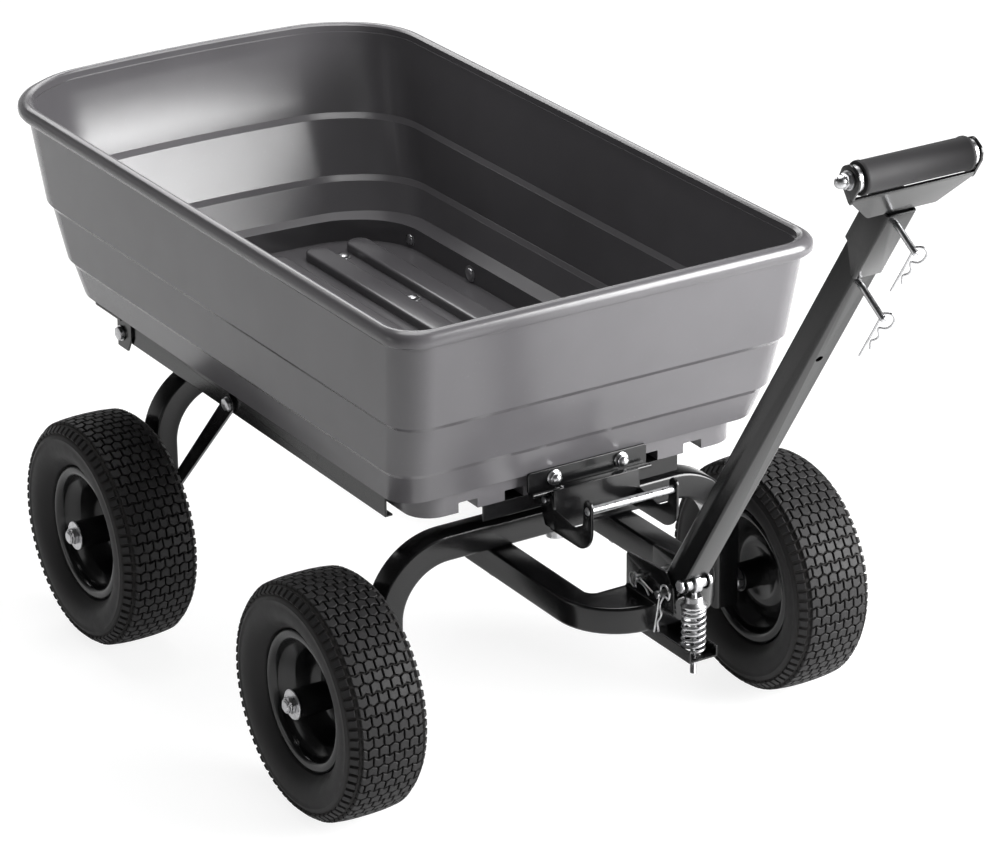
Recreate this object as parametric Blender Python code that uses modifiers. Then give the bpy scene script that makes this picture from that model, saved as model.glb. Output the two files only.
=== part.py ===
"""Four-wheel poly dump cart with a steering front axle, a tipping tub and a sprung pull handle.

Units are metres, +Z is up, the floor is at z = 0. The handle end faces -Y, the tipping end +Y.
While the cart is built, y = 0 lies midway between the axles; at the end the whole cart is
shifted so that the middle of its overall box is at x = y = 0.
"""
from math import acos, atan2, cos, hypot, pi, radians, sin, sqrt, tan

import bmesh
import bpy
from mathutils import Matrix, Vector

# General clearances
SEAT_GAP = 0.0003          # between pieces that touch
HOLE_GAP = 0.0005          # round a bolt or pin in its hole

# Wheels and axles
TYRE_RADIUS = 0.165
TYRE_WIDTH = 0.118
RIM_RADIUS = 0.095
BEAD_RADIUS = 0.0762
WHEEL_TRACK = 0.702
WHEELBASE = 0.621
FRONT_AXLE_Y = -WHEELBASE / 2
REAR_AXLE_Y = WHEELBASE / 2
WHEEL_STEPS = 20
HUB_RADIUS = 0.0165
HUB_HALF = 0.0545
SPINDLE_RADIUS = 0.0095
WASHER_RADIUS = 0.017
WASHER_THICK = 0.003

# Square steel tube of the arches
TUBE = 0.038
TUBE_WALL = 0.0025
ARCH_BEND = 0.090          # bend radius at the middle of the tube
ARCH_DROP = 0.028          # leg below the axle's centre
FRONT_ARCH_TOP = 0.356
REAR_ARCH_TOP = 0.3867

# Tub
TUB_FLOOR_Z = 0.408        # underside of the base
TUB_BASE_HEIGHT = 0.032
TUB_RIM_Z = 0.708
TUB_HALF_WIDTH = 0.3255    # at the rim bead
TUB_FRONT = FRONT_AXLE_Y - 0.1510    # rim bead at the front
TUB_REAR = REAR_AXLE_Y + 0.3895      # rim bead at the rear corners
TUB_REAR_BOW = 0.016       # the rear edge swells by this much at its middle
TUB_WALL = 0.0045
TUB_FLOOR = 0.0045
BASE_HALF_WIDTH = TUB_HALF_WIDTH - 0.0765
BASE_FRONT = TUB_FRONT + 0.0885
RIB_WIDTH = 0.038
RIB_PITCH = 0.070
RIB_HEIGHT = 0.014
RIB_REAR = TUB_REAR - 0.180
RIB_COUNT = int((2 * BASE_HALF_WIDTH - RIB_PITCH) / RIB_PITCH)

# Chassis
RAIL_OUT = BASE_HALF_WIDTH + 0.0135  # outer face of the rails
RAIL_DEPTH = 0.012
RAIL_WALL = 0.003
RAIL_BOTTOM = 0.395
RAIL_TOP = 0.430
RAIL_FRONT = FRONT_AXLE_Y + 0.0005
RAIL_REAR = REAR_AXLE_Y + 0.1215
BEAM_REAR_Y = (REAR_AXLE_Y - 0.0305, REAR_AXLE_Y + 0.0295)
BEAM_FRONT_Y = (FRONT_AXLE_Y + 0.0600, FRONT_AXLE_Y + 0.0985)
ARCH_HALF_SPAN = RAIL_OUT + 0.0045   # to the middle of each leg
PAN_HALF_WIDTH = 0.152
PAN_FRONT = BASE_FRONT + 0.001
PAN_BOTTOM = 0.385
BRACE_TOP_Y = REAR_AXLE_Y - 0.2075
BRACE_TOP_Z = 0.4085
BRACE_FOOT_Z = 0.205
BRACE_WIDTH = 0.025
BRACE_THICK = 0.004
BOLT_RADIUS = 0.005
HEAD_RADIUS = 0.009

# Tipping hinge
TIP_Y = RAIL_REAR - 0.012
TIP_Z = 0.405
EAR_THICK = 0.003
TIP_EAR_Y = (TIP_Y - 0.030, TIP_Y + 0.012)
TIP_EAR_BOTTOM = 0.383
NUT_ROOM = 0.011           # the rail's flanges end this far ahead of the hinge

# Kingpin
KINGPIN_RADIUS = 0.0095
BOSS_RADIUS = 0.024

# Latch
PLATE_HALF_WIDTH = 0.092
PLATE_THICK = 0.004
PLATE_Z = (0.4145, 0.4435)
PLATE_LIP = 0.010
PLATE_BOLT_X = 0.052
PLATE_BOLT_Z = 0.430
LATCH_Y = PAN_FRONT - 0.019
LATCH_Z = 0.404
LATCH_ROD_RADIUS = 0.005
LATCH_EAR_X = 0.064        # inner face of the release ears
LATCH_EAR_THICK = 0.004
LATCH_STRIP = 0.018        # width of the curved ear
LATCH_BEND = 0.050
LATCH_BAR_Y = LATCH_Y - 0.099
LATCH_BAR_Z = 0.424
LATCH_BAR_RADIUS = 0.0055

# Steering frame
FRAME_TUBE = 0.038
FRAME_HALF = 0.095         # middle of each leg
FRAME_REAR = FRONT_AXLE_Y + 0.0485
FRAME_INNER_FRONT = FRONT_AXLE_Y - 0.1975
FRAME_OUTER_FRONT = FRONT_AXLE_Y - 0.2675
FRAME_OUTER_BEND = 0.088
FRAME_INNER_BEND = 0.012

# Handle
HANDLE_Y = FRAME_OUTER_FRONT - 0.021   # tilt pin
HANDLE_Z = 0.3415
HANDLE_LEAN = radians(32.6)
HANDLE_TUBE = 0.036
HANDLE_WALL = 0.002
HANDLE_FOOT = 0.012        # tube below the tilt pin
HANDLE_LENGTH = 0.690      # tube above the tilt pin
CLEVIS_TUBE = HANDLE_TUBE + 0.007
CLEVIS_SPAN = (0.668, 0.780)
CLEVIS_SLOPE = 0.030       # how much lower the clevis reaches at the front
STEM_TUBE = HANDLE_TUBE - 2 * HANDLE_WALL - 0.0007
STEM_SPAN = (0.612, 0.792)
PIN_RADIUS = 0.004
PIN_SPOTS = (0.648, 0.762)
PIN_TAILS = (0.055, 0.045) # how far they reach past the handle's front
HANDLE_HOLE = 0.5056
GRIP_REACH = 0.842
GRIP_RADIUS = 0.0205
GRIP_HALF = 0.0772
GRIP_BOLT_RADIUS = 0.006
YOKE_THICK = 0.004
YOKE_HALF = GRIP_HALF + 0.0108
YOKE_FOOT_HALF = 0.049
YOKE_WEB_FRONT = STEM_TUBE / 2 + 0.00185   # front face of the web ahead of the handle's middle
GRIP_GAP = 0.000434        # between the grip and the near edge of the yoke's web
YOKE_WEB_TOP = GRIP_REACH - 0.004 - sqrt((GRIP_RADIUS + GRIP_GAP) ** 2
                                         - (YOKE_WEB_FRONT - YOKE_THICK) ** 2)
YOKE_WEB_SPAN = (YOKE_WEB_TOP - 0.039, YOKE_WEB_TOP)
BRACKET_PLATE = 0.004

# Handle spring
SPRING_Y = HANDLE_Y - HANDLE_TUBE / 2 - 0.016
SPRING_EYE_Z = 0.363
SLEEVE_RADIUS = 0.008
SLEEVE_HALF = HANDLE_TUBE / 2 - HANDLE_WALL - 0.001
EYE_RADIUS = 0.013
EYE_HALF = 0.005
ROD_RADIUS = 0.004
ROD_END_Z = 0.236
TONGUE_HALF = 0.0215
TONGUE_WALL = 0.0025
TONGUE_BOTTOM = 0.2635
TONGUE_Y = (SPRING_Y - 0.023, SPRING_Y + 0.088)
CAP_BOTTOM = 0.331
CAP_TOP = 0.3455
SPRING_WIRE = 0.0022       # wire radius
SPRING_MEAN = 0.0140       # coil radius at the middle of the wire
SPRING_TURNS = 6.5
SPRING_TURN_POINTS = 9

# Spring clips
CLIP_WIRE = 0.0011
CLIP_LOOP = 0.0075
CLIP_LEG = 0.060
STOW_CLIP_LEG = 0.034
PULL_CLIP_LEG = 0.072

AXLE_Z = TYRE_RADIUS
WHEEL_X = WHEEL_TRACK / 2
LEG_OUT = ARCH_HALF_SPAN + TUBE / 2
FRAME_TOP = FRONT_ARCH_TOP - TUBE - SEAT_GAP
FRAME_BOTTOM = FRAME_TOP - FRAME_TUBE
BEAM_TOP = TUB_FLOOR_Z - SEAT_GAP
BEAM_BOTTOM = RAIL_BOTTOM + RAIL_WALL + SEAT_GAP
TIER_BOTTOM = TUB_FLOOR_Z + TUB_BASE_HEIGHT

ALONG_HANDLE = Vector((0.0, -sin(HANDLE_LEAN), cos(HANDLE_LEAN)))
BEHIND_HANDLE = Vector((0.0, cos(HANDLE_LEAN), sin(HANDLE_LEAN)))
ORIGIN = Vector((0.0, 0.0, 0.0))
CIRCLE_STEPS = 12
CART = "garden_dump_cart"

body_places = {}


def collection(name, hidden=False):
    group = bpy.data.collections.new(name)
    bpy.context.scene.collection.children.link(group)
    group.hide_render = hidden
    return group


def clear_scene():
    for ob in list(bpy.data.objects):
        bpy.data.objects.remove(ob, do_unlink=True)
    for group in list(bpy.data.collections):
        bpy.data.collections.remove(group)


def finish(name, colour, roughness, metallic):
    paint = bpy.data.materials.new(name)
    paint.use_nodes = True
    shader = paint.node_tree.nodes["Principled BSDF"]
    shader.inputs["Base Color"].default_value = (*colour, 1.0)
    shader.inputs["Roughness"].default_value = roughness
    shader.inputs["Metallic"].default_value = metallic
    return paint


clear_scene()
parts = collection(CART)
cutters = collection("cutters", hidden=True)
POLY = finish("grey_poly", (0.115, 0.112, 0.118), 0.35, 0.0)
BLACK = finish("black_powder_coat", (0.008, 0.008, 0.009), 0.28, 0.3)
ZINC = finish("bright_zinc", (0.62, 0.62, 0.64), 0.28, 1.0)
RUBBER = finish("tyre_rubber", (0.022, 0.021, 0.023), 0.72, 0.0)
GRIP = finish("grip_rubber", (0.050, 0.048, 0.051), 0.60, 0.0)


def body(name, at, parent=None):
    """An empty on the joint's axis; everything that moves with the joint hangs from it."""
    holder = bpy.data.objects.new(name, None)
    holder.empty_display_size = 0.05
    parts.objects.link(holder)
    place = Vector(at)
    holder.location = place
    if parent is not None:
        holder.parent = parent
        holder.matrix_parent_inverse = Matrix.Translation(-body_places[parent.name])
    body_places[name] = place
    return holder


def piece(name, mesh, paint, carrier, place=Matrix()):
    """Link a mesh as one named piece of the cart, at a place given in the cart's frame."""
    ob = bpy.data.objects.new(name, mesh)
    ob.data.name = name
    ob.data.materials.clear()
    ob.data.materials.append(paint)
    mesh.shade_smooth()
    mesh.set_sharp_from_angle(angle=radians(35))
    parts.objects.link(ob)
    ob.matrix_world = place
    ob.parent = carrier
    ob.matrix_parent_inverse = Matrix.Translation(-body_places[carrier.name])
    return ob


def mesh_of(bm):
    mesh = bpy.data.meshes.new("mesh")
    bm.to_mesh(mesh)
    bm.free()
    return mesh


def across_x(x):
    """Outline coordinates are (y, z) and the thickness runs along x, centred on the given x."""
    return Matrix(((0, 0, 1, x), (1, 0, 0, 0), (0, 1, 0, 0), (0, 0, 0, 1)))


def across_y(y):
    """Outline coordinates are (x, z) and the thickness runs along y."""
    return Matrix(((1, 0, 0, 0), (0, 0, -1, y), (0, 1, 0, 0), (0, 0, 0, 1)))


def across_z(z):
    """Outline coordinates are (x, y) and the thickness runs along z."""
    return Matrix.Translation((0, 0, z))


def on_handle(reach):
    """Outline coordinates are (x, rear side of the handle); the thickness runs along it."""
    spot = Vector((0, HANDLE_Y, HANDLE_Z)) + reach * ALONG_HANDLE
    turn = Matrix((Vector((1, 0, 0)), BEHIND_HANDLE, ALONG_HANDLE)).transposed()
    return Matrix.Translation(spot) @ turn.to_4x4()


def handle_spot(rear, reach):
    spot = rear * BEHIND_HANDLE + reach * ALONG_HANDLE
    return HANDLE_Y + spot.y, HANDLE_Z + spot.z


def circle(centre, radius, steps=CIRCLE_STEPS):
    """Points that run round a circle, which the facets touch from outside."""
    size = radius / cos(pi / steps)
    angles = [2 * pi * (i + 0.5) / steps for i in range(steps)]
    return [(centre[0] + size * cos(angle), centre[1] + size * sin(angle)) for angle in angles]


def rectangle(u0, u1, v0, v1):
    return [(u0, v0), (u1, v0), (u1, v1), (u0, v1)]


def rounded(points, radii, steps=5, closed=True):
    """Replace each corner of an outline or path by an arc of its radius."""
    count = len(points)
    if not isinstance(radii, (list, tuple)):
        radii = [radii] * count
    result = []
    for i, (point, radius) in enumerate(zip(points, radii)):
        at_end = not closed and i in (0, count - 1)
        if at_end or radius == 0:
            result.append(tuple(point))
            continue
        here = Vector(point)
        back = (Vector(points[i - 1]) - here).normalized()
        ahead = (Vector(points[(i + 1) % count]) - here).normalized()
        half = acos(max(-1.0, min(1.0, back.dot(ahead)))) / 2
        centre = here + (back + ahead).normalized() * (radius / sin(half))
        start = here + back * (radius / tan(half)) - centre
        sweep = pi - 2 * half
        side = 1 if back.x * ahead.y - back.y * ahead.x < 0 else -1
        first = atan2(start.y, start.x)
        for k in range(steps + 1):
            angle = first + side * sweep * k / steps
            result.append((centre.x + radius * cos(angle), centre.y + radius * sin(angle)))
    return result


def band(path, half):
    """The outline of a strip that is twice half wide along an open path."""
    left, right = [], []
    for i, point in enumerate(path):
        before = Vector(path[max(i - 1, 0)])
        after = Vector(path[min(i + 1, len(path) - 1)])
        run = (after - before).normalized()
        left.append((point[0] - half * run.y, point[1] + half * run.x))
        right.append((point[0] + half * run.y, point[1] - half * run.x))
    return left + right[::-1]


def flat_mesh(loops, thickness):
    """A flat outline, with any holes, as a closed solid that is centred on its plane."""
    outline = bpy.data.curves.new("outline", "CURVE")
    outline.dimensions = "2D"
    outline.fill_mode = "BOTH"
    outline.extrude = thickness / 2
    for loop in loops:
        spline = outline.splines.new("POLY")
        spline.points.add(len(loop) - 1)
        for point, (u, v) in zip(spline.points, loop):
            point.co = (u, v, 0, 1)
        spline.use_cyclic_u = True
    return curve_mesh(outline)


def curve_mesh(curve):
    """A curve made into a mesh whose caps are welded on."""
    holder = bpy.data.objects.new("holder", curve)
    bpy.context.scene.collection.objects.link(holder)
    graph = bpy.context.evaluated_depsgraph_get()
    mesh = bpy.data.meshes.new_from_object(holder.evaluated_get(graph))
    bpy.data.objects.remove(holder)
    bm = bmesh.new()
    bm.from_mesh(mesh)
    bmesh.ops.remove_doubles(bm, verts=bm.verts, dist=0.00001)
    bmesh.ops.recalc_face_normals(bm, faces=bm.faces)
    bm.to_mesh(mesh)
    bm.free()
    return mesh


def wire_mesh(points, radius, sides=1):
    """A round wire through the points, with its ends capped."""
    curve = bpy.data.curves.new("wire", "CURVE")
    curve.dimensions = "3D"
    curve.bevel_depth = radius
    curve.bevel_resolution = sides
    curve.use_fill_caps = True
    spline = curve.splines.new("POLY")
    spline.points.add(len(points) - 1)
    for point, spot in zip(spline.points, points):
        point.co = (*spot, 1)
    return curve_mesh(curve)


def block_mesh(x, y, z):
    """A box between the two ends given on each axis."""
    bm = bmesh.new()
    bmesh.ops.create_cube(bm, size=1)
    size = Vector((x[1] - x[0], y[1] - y[0], z[1] - z[0]))
    middle = Vector((x[0] + x[1], y[0] + y[1], z[0] + z[1])) / 2
    bmesh.ops.transform(bm, matrix=Matrix.Translation(middle) @ Matrix.Diagonal((*size, 1)), verts=bm.verts)
    return mesh_of(bm)


def cylinder_mesh(radius, length, steps=CIRCLE_STEPS):
    bm = bmesh.new()
    size = radius / cos(pi / steps)
    bmesh.ops.create_cone(bm, cap_ends=True, segments=steps, radius1=size, radius2=size, depth=length)
    return mesh_of(bm)


def turned(name, profile, axis_place, paint, carrier, closed=False, steps=CIRCLE_STEPS):
    """A profile of (radius, height) turned round the local z axis of its place."""
    mesh = bpy.data.meshes.new(name)
    verts = [(radius, 0, height) for radius, height in profile]
    edges = [(i, i + 1) for i in range(len(profile) - 1)]
    if closed:
        edges.append((len(profile) - 1, 0))
    mesh.from_pydata(verts, edges, [])
    ob = piece(name, mesh, paint, carrier, axis_place)
    screw = ob.modifiers.new("turn", "SCREW")
    screw.axis = "Z"
    screw.steps = steps
    screw.render_steps = steps
    screw.use_merge_vertices = True
    screw.merge_threshold = 0.00001
    screw.use_smooth_shade = True
    return ob


def cutter(name, mesh, place=Matrix()):
    tool = bpy.data.objects.new(name, mesh)
    cutters.objects.link(tool)
    tool.matrix_world = place
    tool.display_type = "WIRE"
    tool.hide_render = True
    return tool


def boolean(ob, mesh, operation, place=Matrix()):
    """Join or cut with a tool that is placed in the cart's frame and follows the cart."""
    tool = cutter(ob.name + "_" + operation.lower(), mesh, place)
    tool.parent = cart
    change = ob.modifiers.new(operation.lower(), "BOOLEAN")
    change.operation = operation
    change.object = tool
    return ob


def bore(ob, place, radius, length):
    return boolean(ob, cylinder_mesh(radius, length), "DIFFERENCE", place)


def soften(ob, width, segments=2, angle=50):
    edge = ob.modifiers.new("edges", "BEVEL")
    edge.width = width
    edge.segments = segments
    edge.limit_method = "ANGLE"
    edge.angle_limit = radians(angle)
    return ob


def along_x(x, y, z):
    """A place whose local z axis points along +X."""
    return Matrix.Translation((x, y, z)) @ Matrix.Rotation(pi / 2, 4, "Y")


def handle_cross(reach):
    """A place whose local z axis points out of the handle's rear side."""
    spot = Vector((0, HANDLE_Y, HANDLE_Z)) + reach * ALONG_HANDLE
    turn = Matrix((Vector((1, 0, 0)), -ALONG_HANDLE, BEHIND_HANDLE)).transposed()
    return Matrix.Translation(spot) @ turn.to_4x4()


def bolt_profile(radius, head_radius, shank, head, nut=0.0, nut_radius=0.0):
    """Half outline of a bolt from its head's top down to the end of its shank."""
    points = [(0, head), (head_radius * 0.8, head), (head_radius, head * 0.7), (head_radius, 0), (radius, 0)]
    if nut:
        points += [(radius, -shank), (nut_radius, -shank), (nut_radius, -shank - nut)]
        points += [(radius, -shank - nut), (radius, -shank - nut - 0.003), (0, -shank - nut - 0.003)]
    else:
        points += [(radius, -shank), (0, -shank)]
    return points


SIDES = (("left", -1), ("right", 1))

cart = body(CART, ORIGIN)
tub_body = body("tub_pivot", (0, TIP_Y, TIP_Z), cart)
latch_body = body("latch_pivot", (0, LATCH_Y, LATCH_Z), cart)
steering_body = body("steering_pivot", (0, FRONT_AXLE_Y, FRONT_ARCH_TOP), cart)
handle_body = body("handle_pivot", (0, HANDLE_Y, HANDLE_Z), steering_body)
spring_body = body("spring_pivot", (0, SPRING_Y, SPRING_EYE_Z), handle_body)
grip_y, grip_z = handle_spot(0, GRIP_REACH)
grip_body = body("grip_pivot", (0, grip_y, grip_z), handle_body)


def tub_ring(half_width, front, rear, front_radius, rear_radius, z):
    """One level of the tub: a rounded rectangle whose rear edge bows outward."""
    corners = ((-1, front, front_radius, pi, 5), (1, front, front_radius, 1.5 * pi, 5),
               (1, rear, rear_radius, 0, 8), (-1, rear, rear_radius, pi / 2, 8))
    ring = []
    for side, y, radius, start, steps in corners:
        inward = 1 if y == front else -1
        for k in range(steps + 1):
            angle = start + pi / 2 * k / steps
            x = side * (half_width - radius) + radius * cos(angle)
            bow = 0 if inward == 1 else TUB_REAR_BOW * max(0.0, 1 - (x / (half_width - radius / 2)) ** 2)
            ring.append(Vector((x, y + inward * radius + radius * sin(angle) + bow, z)))
        if side == 1 and inward == -1:
            for share in (0.5, 0.0, -0.5):
                x = share * (half_width - radius)
                bow = TUB_REAR_BOW * (1 - (x / (half_width - radius / 2)) ** 2)
                ring.append(Vector((x, rear + bow, z)))
    return ring


def tub_walls():
    """Outer levels of the tub from the base up: (z, half width, front, rear, corner radii)."""
    base_rear = TUB_REAR - 0.146
    return [
        (TUB_FLOOR_Z, BASE_HALF_WIDTH, BASE_FRONT, base_rear, 0.012, 0.060),
        (TIER_BOTTOM, BASE_HALF_WIDTH, BASE_FRONT, base_rear, 0.012, 0.060),
        (TIER_BOTTOM, TUB_HALF_WIDTH - 0.0445, TUB_FRONT + 0.0810, TUB_REAR - 0.116, 0.034, 0.115),
        (TUB_RIM_Z - 0.226, TUB_HALF_WIDTH - 0.0360, TUB_FRONT + 0.0625, TUB_REAR - 0.094, 0.036, 0.120),
        (TUB_RIM_Z - 0.219, TUB_HALF_WIDTH - 0.0310, TUB_FRONT + 0.0570, TUB_REAR - 0.087, 0.038, 0.124),
        (TUB_RIM_Z - 0.150, TUB_HALF_WIDTH - 0.0260, TUB_FRONT + 0.0370, TUB_REAR - 0.050, 0.040, 0.128),
        (TUB_RIM_Z - 0.143, TUB_HALF_WIDTH - 0.0210, TUB_FRONT + 0.0310, TUB_REAR - 0.042, 0.042, 0.130),
        (TUB_RIM_Z - 0.022, TUB_HALF_WIDTH - 0.0105, TUB_FRONT + 0.0095, TUB_REAR - 0.013, 0.046, 0.134),
        (TUB_RIM_Z - 0.022, TUB_HALF_WIDTH - 0.0025, TUB_FRONT + 0.0025, TUB_REAR - 0.004, 0.050, 0.138),
        (TUB_RIM_Z - 0.017, TUB_HALF_WIDTH, TUB_FRONT, TUB_REAR, 0.052, 0.140),
        (TUB_RIM_Z - 0.006, TUB_HALF_WIDTH, TUB_FRONT, TUB_REAR, 0.052, 0.140),
        (TUB_RIM_Z, TUB_HALF_WIDTH - 0.0060, TUB_FRONT + 0.0060, TUB_REAR - 0.006, 0.048, 0.136),
    ]


def tub_inside():
    """Inner levels of the tub from the rim down, each one wall inside the outer level."""
    outer = tub_walls()
    levels = [(TUB_RIM_Z - 0.003, TUB_HALF_WIDTH - 0.0145, TUB_FRONT + 0.0145, TUB_REAR - 0.018,
               0.042, 0.130)]
    for z, half_width, front, rear, small, large in (outer[6], outer[5], outer[4], outer[3]):
        levels.append((z + TUB_WALL, half_width - TUB_WALL, front + TUB_WALL, rear - TUB_WALL,
                       small - TUB_WALL, large - TUB_WALL))
    z, half_width, front, rear, small, large = outer[2]
    drop = TUB_WALL + 0.002
    levels.append((z + drop, half_width - drop, front + drop, rear - drop,
                   small - TUB_WALL, large - TUB_WALL))
    z, half_width, front, rear, small, large = outer[1]
    levels.append((z + drop, half_width - TUB_WALL, front + TUB_WALL, rear - TUB_WALL, small - 0.004, large))
    levels.append((TUB_FLOOR_Z + TUB_FLOOR, half_width - TUB_WALL - 0.002, front + TUB_WALL + 0.002,
                   rear - TUB_WALL - 0.002, small - 0.004, large))
    return levels


def make_tub():
    bm = bmesh.new()
    rings = []
    for z, half_width, front, rear, small, large in tub_walls() + tub_inside():
        spots = tub_ring(half_width, front, rear, small, large, z)
        rings.append([bm.verts.new(spot) for spot in spots])
    for lower, upper in zip(rings, rings[1:]):
        for i in range(len(lower)):
            after = (i + 1) % len(lower)
            bm.faces.new((lower[i], lower[after], upper[after], upper[i]))
    bm.faces.new(rings[0][::-1])
    bm.faces.new(rings[-1])
    bmesh.ops.recalc_face_normals(bm, faces=bm.faces)
    tub = piece("tub", mesh_of(bm), POLY, tub_body)
    for i in range(RIB_COUNT):
        x = (i - (RIB_COUNT - 1) / 2) * RIB_PITCH
        half = RIB_WIDTH / 2
        outline = rounded(rectangle(x - half, x + half, BASE_FRONT + 0.002, RIB_REAR),
                          [0, 0, half * 0.99, half * 0.99], 4)
        middle = TUB_FLOOR_Z + TUB_FLOOR + (RIB_HEIGHT - 0.002) / 2
        boolean(tub, flat_mesh([outline], RIB_HEIGHT + 0.002), "UNION", across_z(middle))
        half -= TUB_WALL
        outline = rounded(rectangle(x - half, x + half, BASE_FRONT - 0.001, RIB_REAR - TUB_WALL),
                          [0, 0, half * 0.99, half * 0.99], 3)
        middle = TUB_FLOOR_Z + (RIB_HEIGHT - 0.001) / 2
        boolean(tub, flat_mesh([outline], RIB_HEIGHT + 0.001), "DIFFERENCE", across_z(middle))
    return tub


def make_tub_fittings():
    plate_y = TUB_FRONT + 0.0810 - 0.0023 - PLATE_THICK / 2
    holes = [circle((side * PLATE_BOLT_X, PLATE_BOLT_Z), BOLT_RADIUS + HOLE_GAP) for _, side in SIDES]
    face = rectangle(-PLATE_HALF_WIDTH, PLATE_HALF_WIDTH, *PLATE_Z)
    plate = piece("latch_plate", flat_mesh([face] + holes, PLATE_THICK), BLACK, tub_body, across_y(plate_y))
    front = plate_y - PLATE_THICK / 2
    lip = block_mesh((-PLATE_HALF_WIDTH, PLATE_HALF_WIDTH), (front - PLATE_LIP, front + 0.001),
                     (PLATE_Z[0], PLATE_Z[0] + 0.003))
    boolean(plate, lip, "UNION")
    shank = BASE_FRONT - SEAT_GAP - (front - SEAT_GAP)
    for name, side in SIDES:
        profile = bolt_profile(BOLT_RADIUS, HEAD_RADIUS, shank, 0.008)
        place = Matrix.Translation((side * PLATE_BOLT_X, front - SEAT_GAP, PLATE_BOLT_Z))
        turned("latch_plate_bolt_" + name, profile, place @ Matrix.Rotation(pi / 2, 4, "X"), ZINC, tub_body)
    for name, side in SIDES:
        ear_x = RAIL_OUT + 0.0006 + EAR_THICK / 2
        top = TIER_BOTTOM - SEAT_GAP
        outline = [(TIP_EAR_Y[0], top), (TIP_EAR_Y[0], TIP_Z), (TIP_EAR_Y[0] + 0.012, TIP_EAR_BOTTOM),
                   (TIP_EAR_Y[1], TIP_EAR_BOTTOM), (TIP_EAR_Y[1], TIER_BOTTOM - 0.006),
                   (TIP_EAR_Y[1] + 0.035, TIER_BOTTOM - 0.006), (TIP_EAR_Y[1] + 0.035, top)]
        hole = circle((TIP_Y, TIP_Z), BOLT_RADIUS + HOLE_GAP)
        ear = piece("hinge_bracket_" + name, flat_mesh([outline, hole], EAR_THICK), BLACK, tub_body,
                    across_x(side * ear_x))
        ends = sorted((side * (RAIL_OUT + 0.0006), side * (TUB_HALF_WIDTH - 0.0435)))
        flange = block_mesh(ends, (TIP_EAR_Y[0], TIP_EAR_Y[1] + 0.035), (top - 0.003, top))
        boolean(ear, flange, "UNION")


def make_chassis():
    for name, side in SIDES:
        inner = RAIL_OUT - RAIL_DEPTH
        web = RAIL_OUT - RAIL_WALL
        section = [(inner, RAIL_BOTTOM), (RAIL_OUT, RAIL_BOTTOM), (RAIL_OUT, RAIL_TOP), (inner, RAIL_TOP),
                   (inner, RAIL_TOP - RAIL_WALL), (web, RAIL_TOP - RAIL_WALL),
                   (web, RAIL_BOTTOM + RAIL_WALL), (inner, RAIL_BOTTOM + RAIL_WALL)]
        section = [(side * x, z) for x, z in section]
        rail = piece("side_rail_" + name, flat_mesh([section], RAIL_REAR - RAIL_FRONT), BLACK, cart,
                     across_y((RAIL_FRONT + RAIL_REAR) / 2))
        notch = sorted((side * (inner - 0.001), side * web))
        boolean(rail, block_mesh(notch, (TIP_Y - NUT_ROOM, RAIL_REAR + 0.001), (RAIL_BOTTOM - 0.001,
                RAIL_TOP + 0.001)), "DIFFERENCE")
        bore(rail, along_x(side * RAIL_OUT, TIP_Y, TIP_Z), BOLT_RADIUS + HOLE_GAP, 0.016)
        bore(rail, along_x(side * RAIL_OUT, BRACE_TOP_Y, BRACE_TOP_Z), BOLT_RADIUS + HOLE_GAP, 0.016)
        make_brace(name, side)
        head = RAIL_OUT + 0.0006 + EAR_THICK + SEAT_GAP
        nut_face = RAIL_OUT - RAIL_WALL - SEAT_GAP
        profile = bolt_profile(BOLT_RADIUS, 0.010, head - nut_face, 0.006, 0.004, HEAD_RADIUS)
        flip = Matrix.Rotation(side * pi / 2, 4, "Y")
        place = Matrix.Translation((side * head, TIP_Y, TIP_Z)) @ flip
        turned("hinge_bolt_" + name, profile, place, ZINC, cart)
    beam_half = RAIL_OUT - RAIL_WALL - SEAT_GAP
    make_rear_beam(beam_half)
    pan = [(PAN_FRONT, PAN_BOTTOM), (PAN_FRONT, BEAM_TOP), (BEAM_FRONT_Y[0] + 0.002, BEAM_TOP),
           (BEAM_FRONT_Y[0] + 0.002, PAN_BOTTOM), (BEAM_FRONT_Y[0] - 0.001, PAN_BOTTOM),
           (BEAM_FRONT_Y[0] - 0.001, BEAM_TOP - 0.003), (PAN_FRONT + 0.003, BEAM_TOP - 0.003),
           (PAN_FRONT + 0.003, PAN_BOTTOM)]
    bolster = piece("front_bolster", flat_mesh([pan], 2 * PAN_HALF_WIDTH), BLACK, cart, across_x(0))
    boolean(bolster, block_mesh((-beam_half, beam_half), BEAM_FRONT_Y, (BEAM_BOTTOM, BEAM_TOP)), "UNION")
    boss_bottom = FRONT_ARCH_TOP + SEAT_GAP
    boss_height = BEAM_TOP - 0.001 - boss_bottom
    boss = cylinder_mesh(BOSS_RADIUS, boss_height)
    boolean(bolster, boss, "UNION", Matrix.Translation((0, FRONT_AXLE_Y, boss_bottom + boss_height / 2)))
    depth = BEAM_TOP - 0.004 - boss_bottom
    bore(bolster, Matrix.Translation((0, FRONT_AXLE_Y, boss_bottom + depth / 2 - 0.005)),
         KINGPIN_RADIUS + SEAT_GAP, depth + 0.010)
    head_top = FRAME_TOP + SEAT_GAP - 0.0006
    pin_top = BEAM_TOP - 0.006
    shank = pin_top - head_top
    profile = [(0, shank), (KINGPIN_RADIUS, shank), (KINGPIN_RADIUS, 0), (0.019, 0), (0.019, -0.0025),
               (0.0145, -0.0025), (0.0145, -0.0125), (0, -0.0125)]
    turned("kingpin", profile, Matrix.Translation((0, FRONT_AXLE_Y, head_top)), ZINC, cart)


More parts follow.
